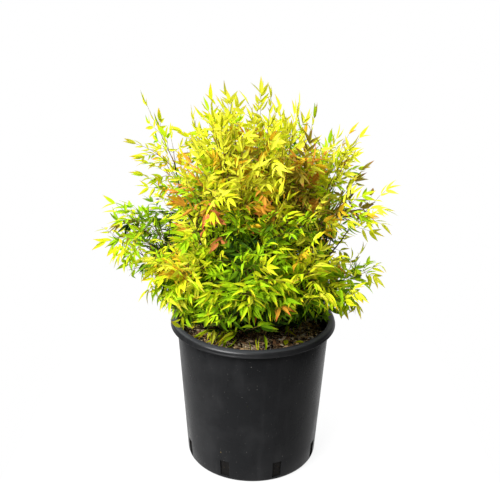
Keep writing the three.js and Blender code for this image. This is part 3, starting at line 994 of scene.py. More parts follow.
# %% Shape the bark
CANE_FOOT_RADIUS = 0.0028
CANE_TIP_RADIUS = 0.0019
CANE_FLARE = 1.35
CANE_FLARE_FADE = 9
BARK_SIDES = 14
BARK_RINGS = 44
CANE_SINK = 0.004  # how far a cane's foot goes down among the chips
CANE_THINNING = 0.85  # a real cane is this much of its solid
JOINT_SPACING = 0.017  # from one leaf ring to the next
JOINT_SWELL = 0.22
JOINT_WIDTH = 0.09  # as a share of the spacing
FURROW_DEPTH = 0.10
FURROW_COUNTS = (5, 3)  # round the cane, in two sets that break each other up
FURROW_SWAY = 2.2
FURROW_SWAY_RATE = 1.7
FURROW_TWIST = 0.9


def bark_radius(mass, length):
    """The rule for one cane's radius, with its rings and furrows."""

    def radii(t, angle):
        plain = CANE_FOOT_RADIUS + (CANE_TIP_RADIUS - CANE_FOOT_RADIUS) * t
        flare = 1 + (CANE_FLARE - 1) * np.exp(-CANE_FLARE_FADE * t)
        place = t * length / JOINT_SPACING + chance(mass.number, 11)
        swell = JOINT_SWELL * np.exp(-(((place % 1 - 0.5) / JOINT_WIDTH) ** 2))
        many, few = FURROW_COUNTS
        sway = FURROW_SWAY * np.sin(place * FURROW_SWAY_RATE + mass.number)
        furrows = np.sin(angle * many + sway) * np.sin(angle * few - place * FURROW_TWIST)
        return CANE_THINNING * plain * flare * (1 + swell + FURROW_DEPTH * furrows)

    return radii


print("joints every", JOINT_SPACING, "m")

# %% Mix the bark's finish and grow the canes
BARK_BROWN = (0.030, 0.019, 0.011, 1)
BARK_TAN = (0.120, 0.080, 0.040, 1)
BARK_OLIVE = (0.060, 0.062, 0.018, 1)
FIBRE_SCALE = 700.0
FIBRE_EDGES = (0.38, 0.62)
FIBRE_DEPTH = 0.0006
FIBRE_STRENGTH = 0.8
ALGAE = (70.0, 3.0, 0.4, 0.65)  # features to a metre, detail, and edges of the olive patches
ALGAE_COVER = 0.55


def bark_finish():
    finish = Finish("cane_bark", Specular_IOR_Level=0.3)
    fibres = finish.place.clouds(FIBRE_SCALE, detail=5.0, stretch=UPRIGHT)
    algae = finish.place.patches(*ALGAE)
    bark = fibres.between(*FIBRE_EDGES).blend(BARK_BROWN, BARK_TAN)
    finish.feed("Base Color", (algae * ALGAE_COVER).blend(bark, BARK_OLIVE))
    finish.feed("Roughness", fibres * 0.3 + 0.6)
    finish.feed("Normal", fibres.relief(FIBRE_DEPTH, FIBRE_STRENGTH))
    return finish


def make_canes():
    template = Template(tube_shape(BARK_SIDES, BARK_RINGS))
    bark = bark_finish()
    for mass in plan:
        line = cane_line(mass)
        foot = line.start - UP * CANE_SINK
        length = float(np.linalg.norm(line.end - foot))
        line = rows_of([Bend(foot, line.bend, line.end)])
        mesh = joined(f"bark_{mass.name}", template, along_bends(template, line, bark_radius(mass, length)))
        make_smooth(mesh)
        ride_as(f"bark_{mass.name}", mesh, [bark], [f"cane_{mass.name}"])
    print(len(plan), "canes of", template.triangles, "triangles")


make_canes()

# %% [markdown]
# ## Compound leaves
#
# Round each stem stand compound leaves in a spiral, a golden turn apart. At each place the rule of the
# solids tries the leaf at several sizes and angles, drops the leaflets that leave the room of their mass,
# and keeps the fullest one that is clear of the leaves in place. Here all the tries at one place are
# arrays, worked out at once.

# %% Name the leaves' sizes
GOLDEN_TURN = 137.5
SPRAY_LENGTH = 0.062
SPRAY_GROWTH = 0.22
SPRAY_TRIMS = (1, 0.84, 0.7, 0.56)
SPRAY_OPENS = (56, 44, 32, 20)
SPRAY_TURNS = (0, 50, -50, 100, -100)
SPRAY_DROOP = 0.2
STEEP_NARROWING = 0.15  # how much less a leaf opens from a shoot that goes straight up
STEEP_BARE_SHARE = 0.25  # how much more of such a shoot is bare
ROLL_SPREAD = 40
OUTWARD_FACING = 1.1
RACHIS_SHARE = 0.52
LEAF_PAIRS = (0.3, 0.76)
LEAF_OPENS = (52, 42)
LEAF_WIDTH_SHARE = 0.38
LEAF_SHOULDER = 0.36
LEAF_FOLD = 0.0016
LEAF_DROOP = 0.16
LEAF_CHECKS = np.array((0.25, 0.5, 0.75, 1.0))

# Every leaflet that may be tried: place along the rachis, hand, and degrees open. The first ends the rachis,
# and each side place is tried at all its angles
SIDES = [(t, hand) for t in LEAF_PAIRS for hand in (1, -1)]
TRIED = np.array([(1, 0, 0)] + [(t, hand, opening) for t, hand in SIDES for opening in LEAF_OPENS])
# Every compound leaf that may be tried: size, degrees open from the stem, and turn from the spiral
TRIES = np.array(list(itertools.product(SPRAY_TRIMS, SPRAY_OPENS, SPRAY_TURNS)))
print(len(TRIES), "tries at each place, of up to", 1 + len(SIDES), "leaflets")

# %% Test what has room
def in_reach(points, boldness):
    """True for each point within the crown's reach, off the bare patch, and above the mix or the rim."""
    from_heart = points - HEART
    far = np.linalg.norm(from_heart, axis=-1)
    out = from_heart / far[..., None]
    in_mouth = np.hypot(points[..., 0], points[..., 1]) < inside_radius(MIX_LEVEL) - POT_MARGIN
    skirt = np.sin(np.radians(CROWN_SKIRT - SKIRT_TILT * out[..., 1]))
    floor = np.where(in_mouth, MIX_LEVEL, POT_HEIGHT) + POT_MARGIN
    return (
        (far < crown_reach(out) * boldness + CLEARANCE)
        & (out @ bare_patch < math.cos(math.radians(BARE_HALF_ANGLE)))
        & (points[..., 2] > floor)
        & (in_mouth | (out[..., 2] > skirt))
    )


def has_room(points, shoot):
    """True for each point within reach that is also in the wedge of the shoot's mass."""
    own = ((points - HEART) @ shoot.walls.T > shoot.margin).all(axis=-1)
    return own & in_reach(points, shoot.boldness)


print("room is clear of the bare patch at", np.round(bare_patch, 2))

# %% Define shoots
STEEP_FROM = 0.7  # the z of the direction of shoots that begin to count as steep
STEEP_BAND = 0.3


class Shoot:
    """A stem with compound leaves all round it, which ends in one more."""

    def __init__(self, mass, number, out, boldness, line, span, leaves, gap, margin, ends_in_leaf=True):
        self.walls = mass.walls
        self.number = number
        self.out = out
        self.boldness = boldness
        self.reach = float(crown_reach(out) * boldness)
        self.line = line
        self.span = span  # the share of the line that has leaves
        self.leaves = leaves
        self.gap = gap
        self.margin = margin
        self.ends_in_leaf = ends_in_leaf
        # only the shoots that the solids lack, which have no margin, are narrower and barer where steep
        self.steepness = 0 if margin > 0 else float(np.clip((out[2] - STEEP_FROM) / STEEP_BAND, 0, 1))


def last_start(reach):
    return (reach - SPRAY_LENGTH) / (1 + SPRAY_GROWTH)


def stem_line(start, heading_on, out, reach):
    """A stem that leaves its start along one heading and ends where the last compound leaf starts."""
    end = HEART + out * last_start(reach)
    return Bend(start, start + heading_on * np.linalg.norm(end - start) / 2, end)


print("the longest stem ends", round(last_start(max(mass.reach for mass in plan)), 3), "m out")

# %% Try compound leaves
class Spray:
    """A compound leaf: its rachis, and its leaflets' roots, directions, upper sides and places."""

    def __init__(self, shoot, rachis, length, root, along, normal, places):
        self.shoot = shoot
        self.rachis = rachis
        self.leaf_length = length * (1 - RACHIS_SHARE)
        self.root = root
        self.along = along
        self.normal = normal
        self.places = places.reshape(-1, 3)


def sprays_tried(shoot, start, along, length, droop, leaf_droop, roll):
    """The compound leaves that fit, of those that leave start along these directions at these lengths."""
    span = (length * RACHIS_SHARE)[:, None]
    level = np.hypot(along[:, 0], along[:, 1])[:, None]
    straight_end = start + along * span
    bend = (start + straight_end) / 2
    end = straight_end - UP * span * droop * level
    rachis = Bend(start[None, None], bend[:, None], end[:, None])
    upward = square_to(along, np.array((shoot.out[0], shoot.out[1], 0.0)) * OUTWARD_FACING + UP)
    facing = tipped(upward, np.cross(along, upward), roll)[:, None]

    t, hand, opening = TRIED.T
    axis = rachis.tangent(t)
    above = square_to(axis, facing)
    leaf_along = unit(tipped(axis, np.cross(axis, above), opening * hand) - UP * leaf_droop)
    normal = square_to(leaf_along, above)
    root = rachis.point(t)
    leaf_length = (length * (1 - RACHIS_SHARE))[:, None, None]
    shoulder = root + leaf_along * leaf_length * LEAF_SHOULDER + normal * LEAF_FOLD
    side = np.cross(leaf_along, normal) * leaf_length * LEAF_WIDTH_SHARE / 2
    middle = root[:, :, None] + leaf_along[:, :, None] * (leaf_length[..., None] * LEAF_CHECKS[:, None])
    places = np.concatenate([(shoulder - side)[:, :, None], (shoulder + side)[:, :, None], middle], axis=2)

    # a try stands if its end leaflet and the middle of its rachis have room
    fits = has_room(places, shoot).all(axis=-1)
    stands = fits[:, 0] & has_room(rachis.point(np.array([0.5])), shoot)[:, 0]
    made = []
    for k in np.flatnonzero(stands):
        kept = [0]
        for first in range(1, len(TRIED), len(LEAF_OPENS)):
            open_ones = [slot for slot in range(first, first + len(LEAF_OPENS)) if fits[k, slot]]
            kept += open_ones[:1]
        own = Bend(start, rachis.bend[k, 0], rachis.end[k, 0])
        parts = (part[k, kept] for part in (root, leaf_along, normal, places))
        made.append(Spray(shoot, own, length[k], *parts))
    return made


print(len(TRIED), "leaflets are tried on each leaf")

# %% Grow the leaves of one shoot
def last_spray(shoot):
    """The compound leaf that ends a shoot, straight out to its full reach."""
    start = HEART + shoot.out * last_start(shoot.reach)
    length = np.array([shoot.reach - last_start(shoot.reach)])
    roll = about(0, ROLL_SPREAD, shoot.number, 5)
    return sprays_tried(shoot, start, shoot.out[None], length, 0, 0, roll)[:1]


def stem_spray(shoot, number, taken):
    """The fullest compound leaf at one place of the spiral that keeps its gap from those in place."""
    low, high = shoot.span
    low += STEEP_BARE_SHARE * shoot.steepness
    t = low + (high - low) * number / (shoot.leaves - 1)
    start = shoot.line.point(t)
    axis = shoot.line.tangent(t)
    above = square_to(axis, UP)
    aside = np.cross(axis, above)
    trim, opening, stray = TRIES.T
    turn = GOLDEN_TURN * number + 360 * chance(shoot.number, 4) + stray
    along = tipped(axis, tipped(above, aside, turn), opening * (1 - STEEP_NARROWING * shoot.steepness))
    length = trim * (SPRAY_LENGTH + SPRAY_GROWTH * np.linalg.norm(start - HEART))
    roll = about(0, ROLL_SPREAD, shoot.number, number, 6)
    tried = sprays_tried(shoot, start, along, length, SPRAY_DROOP, LEAF_DROOP, roll)
    for spray in sorted(tried, key=lambda spray: -len(spray.root)):
        if np.linalg.norm(spray.places[:, None] - taken, axis=-1).min() > shoot.gap:
            return [spray]
    return []


def leaves_of(shoot, sprays):
    """Adds a shoot's compound leaves to those of its mass, the last one first."""
    if shoot.ends_in_leaf:
        sprays += last_spray(shoot)
    for number in reversed(range(shoot.leaves)):
        taken = np.vstack([spray.places for spray in sprays] or [HEART])
        sprays += stem_spray(shoot, number, taken)


print("a leaf is", SPRAY_LENGTH, "m long at the heart, and", SPRAY_GROWTH, "m longer for each metre out")

# %% [markdown]
# ### From six leaves to a full mass
#
# The solids have one stem to a mass, with six leaves. The shrub has more: side shoots fork off the stem and
# reach the outside of the crown at places of their own, more leaves stand between the first ones, and the
# canes have leaves too, which are what fills the shaded middle. They follow the same rule, a little closer
# together, and may stray a little into the wedge of the next mass, as twigs do.

# %% Fork side shoots off a stem
STEM_LEAVES = 5
STEM_SPAN = (0.1, 0.94)
SPRAY_GAP = 0.010
FILL_LEAVES = 11
FILL_SPAN = (0.03, 1.0)
FILL_GAP = 0.0050
FILL_MARGIN = -0.020
CANE_LEAVES = 11
CANE_SPAN = (0.36, 0.98)
# ring: side shoots of each mass, leaves on each, and how far they reach against the crown
SIDE_SHOOTS = {"top": (12, 9, 1.01), "upper": (8, 7, 0.98), "middle": (4, 5, 0.95), "lower": (3, 5, 0.93)}
SIDE_ANGLE = 13  # degrees from the mass's own direction
SIDE_ANGLE_SPREAD = 3
SIDE_START = 0.3  # along the stem
SIDE_START_SPREAD = 0.2
SIDE_REACH_SPREAD = 0.06
MOST_BOLD = 1.04  # side shoots stand out this far at most beside a shoot that stands out
SIDE_KEYS = 1000  # side shoots are numbered from here on
MASS_KEYS = 10  # from one mass to the next; a top mass has more shoots, and shares the next one's first keys


def main_shoot(mass, key, line, span, leaves, gap, margin):
    """The mass's own stem or cane as a shoot. Only the one with the key 0 ends in a leaf of its own."""
    return Shoot(mass, mass.number + key, mass.out, mass.boldness, line, span, leaves, gap, margin, key == 0)


def side_shoot(mass, stem, k):
    count, leaves, farthest = SIDE_SHOOTS[mass.ring]
    key = SIDE_KEYS + MASS_KEYS * mass.number + k
    above = square_to(mass.out, UP)
    aside = np.cross(mass.out, above)
    turn = 360 * (k + chance(mass.number, 21)) / count
    out = tipped(mass.out, tipped(above, aside, turn), about(SIDE_ANGLE, SIDE_ANGLE_SPREAD, key, 1))
    boldness = min(mass.boldness, MOST_BOLD) * about(farthest, SIDE_REACH_SPREAD, key, 2)
    t = about(SIDE_START, SIDE_START_SPREAD, key, 3)
    line = stem_line(stem.point(t), stem.tangent(t), out, crown_reach(out) * boldness)
    return Shoot(mass, key, out, boldness, line, STEM_SPAN, leaves, FILL_GAP, FILL_MARGIN)


print("side shoots to a mass:", {ring: shoots[0] for ring, shoots in SIDE_SHOOTS.items()})

# %% [markdown]
# ### Suckers
#
# Young shoots come up beside the old canes and hang over the mix in a ring of fresh green. Short stems of
# their own carry them. Each is grown by the same rule, as a shoot of the mass that is nearest to its
# direction.

# %% Bring up the suckers
# turn and elevation in degrees, reach, and leaves beside the last
SUCKERS = (
    (-157, 22, 0.128, 0),
    (-143, 17, 0.130, 0),
    (-131, 22, 0.134, 0),
    (-119, 16, 0.130, 0),
    (-106, 21, 0.134, 0),
    (-94, 16, 0.128, 0),
    (-82, 21, 0.132, 0),
    (-69, 17, 0.132, 0),
    (-57, 20, 0.132, 0),
    (-18, 30, 0.130, 2),
    (14, 27, 0.135, 4),
    (52, 25, 0.140, 4),
    (88, 27, 0.138, 4),
    (124, 24, 0.140, 4),
    (158, 27, 0.138, 4),
)
SUCKER_FOOT = 0.030  # how far from the heart they come up
SUCKER_SPAN = (0.45, 1.0)
SUCKER_KEYS = 3000
FREE_MARGIN = -0.2  # these shoots may stand among the leaves of all the masses


def nearest_mass(out):
    return max(plan, key=lambda mass: float(mass.out @ out))


def sucker(k):
    """A young shoot from the foot of the clump."""
    turn, elevation, reach, leaves = SUCKERS[k]
    out = heading(elevation, turn)
    start = HEART + unit(out * (1, 1, 0)) * SUCKER_FOOT + UP * CLEARANCE
    line = stem_line(start, unit(out + UP), out, reach)
    boldness = reach / float(crown_reach(out))
    mass = nearest_mass(out)
    return Shoot(mass, SUCKER_KEYS + k, out, boldness, line, SUCKER_SPAN, leaves, FILL_GAP, FREE_MARGIN)


print(len(SUCKERS), "suckers")

# %% [markdown]
# ### Shoots that fill thin places
#
# A rule alone leaves the crown thin in some places. A gardener who looks at a shrub from all round sees
# where it wants another branch, so a few more shoots are listed one by one, each off the stem of the mass
# that is nearest.

# %% Fill the thin places
# elevation and turn in degrees, and reach
FILLING_SHOOTS = (
    (64, 4, 0.430),
    (60, 15, 0.405),
    (66, -14, 0.415),
    (80, -165, 0.462),
    (84, -60, 0.466),
    (77, -112, 0.455),
    (80, -20, 0.452),
    (42, -124, 0.325),
    (34, -134, 0.295),
    (49, -136, 0.350),
    (43, -146, 0.345),
    (52, -124, 0.330),
    (46, -116, 0.325),
    (47, 172, 0.385),
    (46, -166, 0.375),
    (51, -152, 0.370),
    (62, -152, 0.420),
    (66, -132, 0.430),
    (67, -124, 0.425),
    (70, -140, 0.435),
    (47, -94, 0.325),
    (43, -84, 0.325),
    (51, -84, 0.335),
    (39, -94, 0.315),
    (46, -160, 0.385),
    (50, 172, 0.390),
    (44, -172, 0.395),
    (59, 3, 0.385),
    (44, -64, 0.330),
    (36, -60, 0.305),
    (34, -16, 0.295),
    (30, 10, 0.285),
    (39, 176, 0.365),
    (43, -170, 0.355),
)
FILLING_LEAVES = 7
FILLING_START = 0.35  # along the stem of the nearest mass
FILLING_KEYS = 2000


def main_stem(mass):
    cane = cane_line(mass)
    start = cane.end + cane.tangent(1) * CLEARANCE
    return stem_line(start, cane.tangent(1), mass.out, mass.reach)


def filling_shoot(k):
    elevation, turn, reach = FILLING_SHOOTS[k]
    out = heading(elevation, turn)
    mass = nearest_mass(out)
    stem = main_stem(mass)
    line = stem_line(stem.point(FILLING_START), stem.tangent(FILLING_START), out, reach)
    boldness = reach / float(crown_reach(out))
    key = FILLING_KEYS + k
    return Shoot(mass, key, out, boldness, line, STEM_SPAN, FILLING_LEAVES, FILL_GAP, FREE_MARGIN)


print(len(FILLING_SHOOTS), "filling shoots")

# %% Grow the masses
FILL_KEY = 400
CANE_KEY = 500


def grown(mass):
    """A mass's shoots and compound leaves: those of the solids first, then the rest."""
    cane = cane_line(mass)
    stem = main_stem(mass)
    shoots = [main_shoot(mass, 0, stem, STEM_SPAN, STEM_LEAVES, SPRAY_GAP, WEDGE_MARGIN)]
    shoots += [side_shoot(mass, stem, k) for k in range(SIDE_SHOOTS[mass.ring][0])]
    shoots.append(main_shoot(mass, FILL_KEY, stem, FILL_SPAN, FILL_LEAVES, FILL_GAP, FILL_MARGIN))
    shoots.append(main_shoot(mass, CANE_KEY, cane, CANE_SPAN, CANE_LEAVES, FILL_GAP, FILL_MARGIN))
    sprays = []
    stems = []
    for shoot in shoots:
        before = len(sprays)
        leaves_of(shoot, sprays)
        if shoot.line is not cane and len(sprays) > before:
            stems.append(shoot.line)
    return sprays, stems


sprays = []
stems = []
for mass in plan:
    more_sprays, more_stems = grown(mass)
    sprays += more_sprays
    stems += more_stems
more_shoots = [sucker(k) for k in range(len(SUCKERS))]
more_shoots += [filling_shoot(k) for k in range(len(FILLING_SHOOTS))]
for shoot in more_shoots:
    own = []
    leaves_of(shoot, own)
    sprays += own
    stems += [shoot.line] if own else []
print(len(sprays), "compound leaves on", len(stems), "stems")

# %% [markdown]
# ### Airy sides
#
# A shrub isn't equally thick all round: on the sides where it is airy, single sprays stand apart and the
# light comes through. So leaves are left out there, most of them in the middle of such a side and fewer
# towards its edge. The leaves that the solids have too are nearly all kept, because they carry the crown's
# outline.

# %% Thin the airy sides
# direction, half angle in degrees, and the share of leaves that are missing
AIRY_SIDES = (
    (heading(16, -164), 28, 0.85),
    (heading(28, 176), 16, 0.50),
    (heading(56, -142), 14, 0.72),
    (heading(61, 180), 13, 0.85),
    (heading(45, -20), 14, 0.88),
    (heading(45, 14), 14, 0.88),
    (heading(45, -3), 12, 0.95),
    (heading(20, -4), 20, 0.76),
    (heading(22, 100), 40, 0.35),
)
AIRY_OUTSIDE = 0.4  # as a share of the crown's reach
OWN_LOSS = 0.15  # how far this holds for the leaves that the solids have too
LEAF_SEED = 41
growth = np.random.default_rng(LEAF_SEED)


def nearness(out, side, half_angle):
    """1 for directions in the middle of a side of the crown, fading away all round it."""
    away = np.degrees(np.arccos(np.clip(out @ side, -1, 1))) / half_angle
    return np.exp(-(away**2))


def thinned(sprays):
    """The compound leaves without those that the airy sides lack."""
    kept = []
    for spray in sprays:
        middle = spray.rachis.end - HEART
        far = np.linalg.norm(middle)
        out = middle / far
        missing = sum(share * nearness(out, side, half_angle) for side, half_angle, share in AIRY_SIDES)
        missing *= far / crown_reach(out) > AIRY_OUTSIDE
        own = spray.shoot.number < len(plan)
        if growth.uniform() > missing * (OWN_LOSS if own else 1):
            kept.append(spray)
    return kept


sprays = thinned(sprays)
print(len(sprays), "compound leaves are kept")

# %% [markdown]
# ## Side twigs and leaflets
#
# Where the solids have one large leaflet, the shrub has a thread-thin side twig with one or two pairs of
# leaflets along it and three at its end, like a bird's foot. All twigs are worked out at once, as rows of
# arrays. A leaflet that would leave the crown's reach, or dip into the mix or the pot, is skipped, and so
# is one that would hang below the crown's ragged underside.

# %% Lay out the side twigs
END_SHARE = 0.62  # of the side twig's frame, for a full-sized end leaflet
SHORTEST_TWIG = 0.34  # as a share of its frame
SIZE_AT_TOP = 0.73  # young leaflets at the top are small
SIZE_GAIN = 0.90  # how much larger they are at the level of the mix
SIZE_FADE = 4.0
TWIG_SAG = 0.05
TWIG_ROLL = 0.6  # how far a twig is rolled about itself, as the tangent of the angle


def crown_height(points):
    """0 at the level of the mix and 1 at the top of the crown."""
    return np.clip((points[..., 2] - MIX_LEVEL) / CROWN_TOP_REACH, 0, 1)


def outside_share(points):
    """0 at the heart and 1 at the outside of the crown."""
    far = np.linalg.norm(points - HEART, axis=1)
    return far / crown_reach((points - HEART) / far[:, None])


def leaf_size(height):
    """How large leaflets are at a height, against those that just fill their frames."""
    return SIZE_AT_TOP + SIZE_GAIN * (1 - height) ** SIZE_FADE


class Twigs:
    """The side twigs of all sprays, one row each."""

    def __init__(self, all_sprays):
        counts = [len(spray.root) for spray in all_sprays]
        self.spray = np.repeat(np.arange(len(all_sprays)), counts)
        for part in ("root", "along", "normal"):
            setattr(self, part, np.concatenate([getattr(spray, part) for spray in all_sprays]))
        roll = growth.normal(0, TWIG_ROLL, (len(self.root), 1))
        self.normal = unit(self.normal + np.cross(self.along, self.normal) * roll)
        self.length = np.repeat([spray.leaf_length for spray in all_sprays], counts)[:, None]
        self.boldness = np.repeat([spray.shoot.boldness for spray in all_sprays], counts)
        self.hangs = np.repeat([spray.shoot.number >= SUCKER_KEYS for spray in all_sprays], counts)
        share = 1 - END_SHARE * leaf_size(crown_height(self.root))[:, None]
        span = self.length * np.maximum(share, SHORTEST_TWIG)
        ends = self.root + self.along * span - UP * span * TWIG_SAG
        middles = self.root + self.along * span / 2 + self.normal * span * TWIG_SAG
        self.lines = Bend(self.root[:, None], middles[:, None], ends[:, None])


twigs = Twigs(sprays)
print(len(twigs.spray), "side twigs")

# %% Size the leaflets
# place along the side twig, hand, degrees open, and length as a share of the twig's frame
LEAFLETS = (
    (0.18, 1, 60, 0.44),
    (0.24, -1, 60, 0.44),
    (0.56, 1, 54, 0.48),
    (0.62, -1, 54, 0.48),
    (0.97, 1, 44, 0.54),
    (1.00, -1, 44, 0.54),
    (1.00, 0, 0, END_SHARE),
)
LOW_PAIR = 0.3  # leaflets nearer to the root than this share are on long side twigs only
LONG_TWIG = 0.048  # metres, with its end leaflet
OPEN_SPREAD = 15
OPEN_LOSS = 0.4  # how much less leaflets open at the top of the crown
LENGTH_SPREAD = 0.22
SHADE_EDGE = 0.75  # of the crown's reach, and inside this leaflets grow larger and broader
SHADE_SIZE = 0.45
MISSING_SHARE = 0.2  # of the leaflets beside a twig
ROLL_TURN = 0.8  # how far a leaflet is rolled about its midrib, as the tangent of the angle
LOW_DROOP = 0.55  # how much the lowest leaflets hang, against none at the top
DROOP_SHARES = (0.2, 1.0)  # of this, from leaflet to leaflet
ARCHES = (0.15, 1.15)  # radians that the midrib turns down from root to tip
LOW_ARCH = 1.15  # of this, at the level of the mix
END_ARCH = 0.45  # of the arch, for the leaflet that ends a twig
ARCH_LOSS = 0.95  # how much less of it at the top of the crown
REACH_SLACK = 1.01
FRONT_LINE = 0.024  # the y from where the crown's underside rises to the front
FRONT_SLOPE = 0.50
FRONT_RAGS = 0.020  # how much lower or higher single compound leaves end there
# The underside also rises to these sides: direction, how far out this begins, slope, and highest rise
RISING_SIDES = (
    ((0.75, -0.66, 0), 0.030, 0.70, 0.055),
    ((-0.90, -0.43, 0), 0.075, 0.85, 0.140),
)
SUCKER_MISSING = 0.5  # of the leaflets beside a sucker's twigs
SUCKER_SIZE = 1.15
SUCKER_DROOP = 2.8
print(len(LEAFLETS), "leaflets at most on a side twig")

# %% Hang the leaflets on the side twigs
class Leaflets:
    """All leaflets, one row each."""

    def __init__(self, owners):
        count = len(owners.spray)
        rows = [self.set_at(owners, count, *leaflet) for leaflet in LEAFLETS]
        names = ("root", "along", "normal", "length", "arch", "twig")
        for k, name in enumerate(names):
            setattr(self, name, np.concatenate([row[k] for row in rows]))
        fits = self.fits(owners)
        for name in names:
            setattr(self, name, getattr(self, name)[fits])
        self.spray = owners.spray[self.twig]

    def set_at(self, owners, count, t, hand, opening, share):
        """One leaflet on every twig, at the same place."""
        axis = owners.lines.tangent(np.array([t]))[:, 0]
        above = square_to(axis, owners.normal)
        height = crown_height(owners.root)[:, None]
        degrees = hand * opening * (1 - OPEN_LOSS * height[:, 0])
        degrees = degrees + growth.uniform(-OPEN_SPREAD, OPEN_SPREAD, count)
        along = tipped(axis, np.cross(axis, above), degrees)
        root = owners.lines.point(np.array([t]))[:, 0]
        droop = LOW_DROOP * (1 - height) * np.where(owners.hangs, SUCKER_DROOP, 1.0)[:, None]
        along = unit(along - UP * droop * growth.uniform(*DROOP_SHARES, (count, 1)))
        rolled = above + np.cross(along, above) * growth.normal(0, ROLL_TURN, (count, 1))
        spread = LENGTH_SPREAD * (hand != 0)
        missing = np.where(owners.hangs, SUCKER_MISSING, MISSING_SHARE)
        there = (growth.uniform(size=count) > missing) | (hand == 0)
        there &= (t > LOW_PAIR) | (owners.length[:, 0] > LONG_TWIG)
        deep = 1 - outside_share(root)[:, None] / SHADE_EDGE
        size = leaf_size(height) * (1 + SHADE_SIZE * np.clip(deep, 0, 1))
        size = size * np.where(owners.hangs, SUCKER_SIZE, 1.0)[:, None]
        length = owners.length * share * size * growth.uniform(1 - spread, 1 + spread, (count, 1))
        arch = growth.uniform(*ARCHES, (count, 1)) * (LOW_ARCH - ARCH_LOSS * height)
        arch = arch * (1.0 if hand else END_ARCH)
        leaflet = (root, along, square_to(along, rolled), length, arch, np.arange(count))
        return [part[there] for part in leaflet]

    def midrib(self, y):
        """Where the midrib is at these shares of its length, as it arches down."""
        ahead = (self.length * np.sin(self.arch * y) / self.arch)[..., None]
        down = (self.length * (1 - np.cos(self.arch * y)) / self.arch)[..., None]
        return self.root[:, None] + self.along[:, None] * ahead - self.normal[:, None] * down

    def fits(self, owners):
        """True for each leaflet that is within the crown's reach and above its underside."""
        boldness = owners.boldness[self.twig][:, None] * REACH_SLACK
        places = self.midrib(np.array((0.5, 1.0)))
        rise = np.maximum(FRONT_LINE - places[..., 1], 0) * FRONT_SLOPE
        for side, line, slope, most in RISING_SIDES:
            rise = np.maximum(rise, np.clip((places @ np.array(side) - line) * slope, 0, most))
        rags = growth.uniform(-FRONT_RAGS, FRONT_RAGS, owners.spray[-1] + 1)
        lifted = places[..., 2] > MIX_LEVEL + rise + rags[owners.spray[self.twig]][:, None]
        lifted |= (rise == 0) | owners.hangs[self.twig][:, None]
        return (in_reach(places, boldness) & lifted).all(axis=1)


leaflets = Leaflets(twigs)
print(len(leaflets.root), "leaflets")

# %% [markdown]
# ## Autumn tints, dealt out by spray
#
# Young leaves at the top and the outside are lime to pale yellow, and older ones low down and inside are
# deep green, and the same greens also paint the shade inside the crown and on some of its sides, and the
# light on its outside and on others. High up on the outside some sprays blush gold, orange, coral or olive,
# and the sun has turned whole groups of them. So each side twig is dealt a tint by where it stands and by
# its spray, and now and then a leaflet takes the next tint. Tints are plain colours, and the leaflets of
# one tint are one piece.

# %% Name the tints
# name: colour of the blade, colour of the tip
TINTS = {
    "pine": ((0.010, 0.030, 0.0045), (0.013, 0.030, 0.0045)),
    "deep_green": ((0.042, 0.098, 0.0040), (0.060, 0.098, 0.0040)),
    "green": ((0.120, 0.235, 0.0055), (0.180, 0.240, 0.0060)),
    "fresh_green": ((0.290, 0.505, 0.0080), (0.360, 0.420, 0.0090)),
    "lime": ((0.460, 0.665, 0.0100), (0.560, 0.520, 0.0140)),
    "yellow_lime": ((0.590, 0.635, 0.0150), (0.680, 0.520, 0.0220)),
    "pale_yellow": ((0.700, 0.710, 0.0450), (0.730, 0.610, 0.0600)),
    "gold": ((0.640, 0.410, 0.0160), (0.580, 0.280, 0.0200)),
    "orange": ((0.600, 0.290, 0.0300), (0.520, 0.150, 0.0300)),
    "coral": ((0.600, 0.200, 0.0600), (0.500, 0.110, 0.0450)),
    "olive": ((0.190, 0.150, 0.0110), (0.230, 0.110, 0.0180)),
    "dry_brown": ((0.060, 0.032, 0.0200), (0.030, 0.018, 0.0140)),
}
GREENS = ("pine", "deep_green", "green", "fresh_green", "lime", "yellow_lime", "pale_yellow")
BLUSHES = ("gold", "orange", "coral", "olive")
AGE_AND_LIGHT_STEPS = (0.72, 0.85, 0.98, 1.11, 1.25, 1.43)  # of youth and painted light, where one green gives way to the next
# youth here is partly the leaves' age and partly painted light and shade: lighter greens outside and high up,
# darker ones inside and low down
YOUTH_AND_LIGHT_OUTSIDE = 1.20
YOUTH_AND_LIGHT_HEIGHT = 0.46
YOUTH_SPREAD = 0.13
print("greens from old to young:", *GREENS)

# %% Place the painted shade and light, and the sunned groups
# sides of painted shade, where the greens are darker, and of painted light, where a loss below 0 makes them
# lighter: direction, half angle in degrees, and how much youth is lost
PAINTED_LIGHT_AND_SHADE_SIDES = (
    (heading(30, -84), 24, 0.19),
    (heading(45, -90), 12, -0.26),
    (heading(46, -66), 14, -0.10),
    (heading(56, -93), 14, 0.60),
    (heading(58, -66), 12, -0.08),
    (heading(38, -62), 14, -0.30),
    (heading(25, -62), 16, 0.44),
    (heading(72, -100), 12, -0.40),
    (heading(20, -138), 26, 0.12),
    (heading(43, -125), 19, -0.42),
    (heading(20, -176), 22, -0.24),
    (heading(66, -60), 14, -0.18),
    (heading(36, 180), 13, 0.28),
    (heading(32, -18), 24, -0.16),
)
# partly the suckers' young green, partly painted light against the shade of the crown over them
SUCKER_YOUTH_AND_LIGHT = 0.84
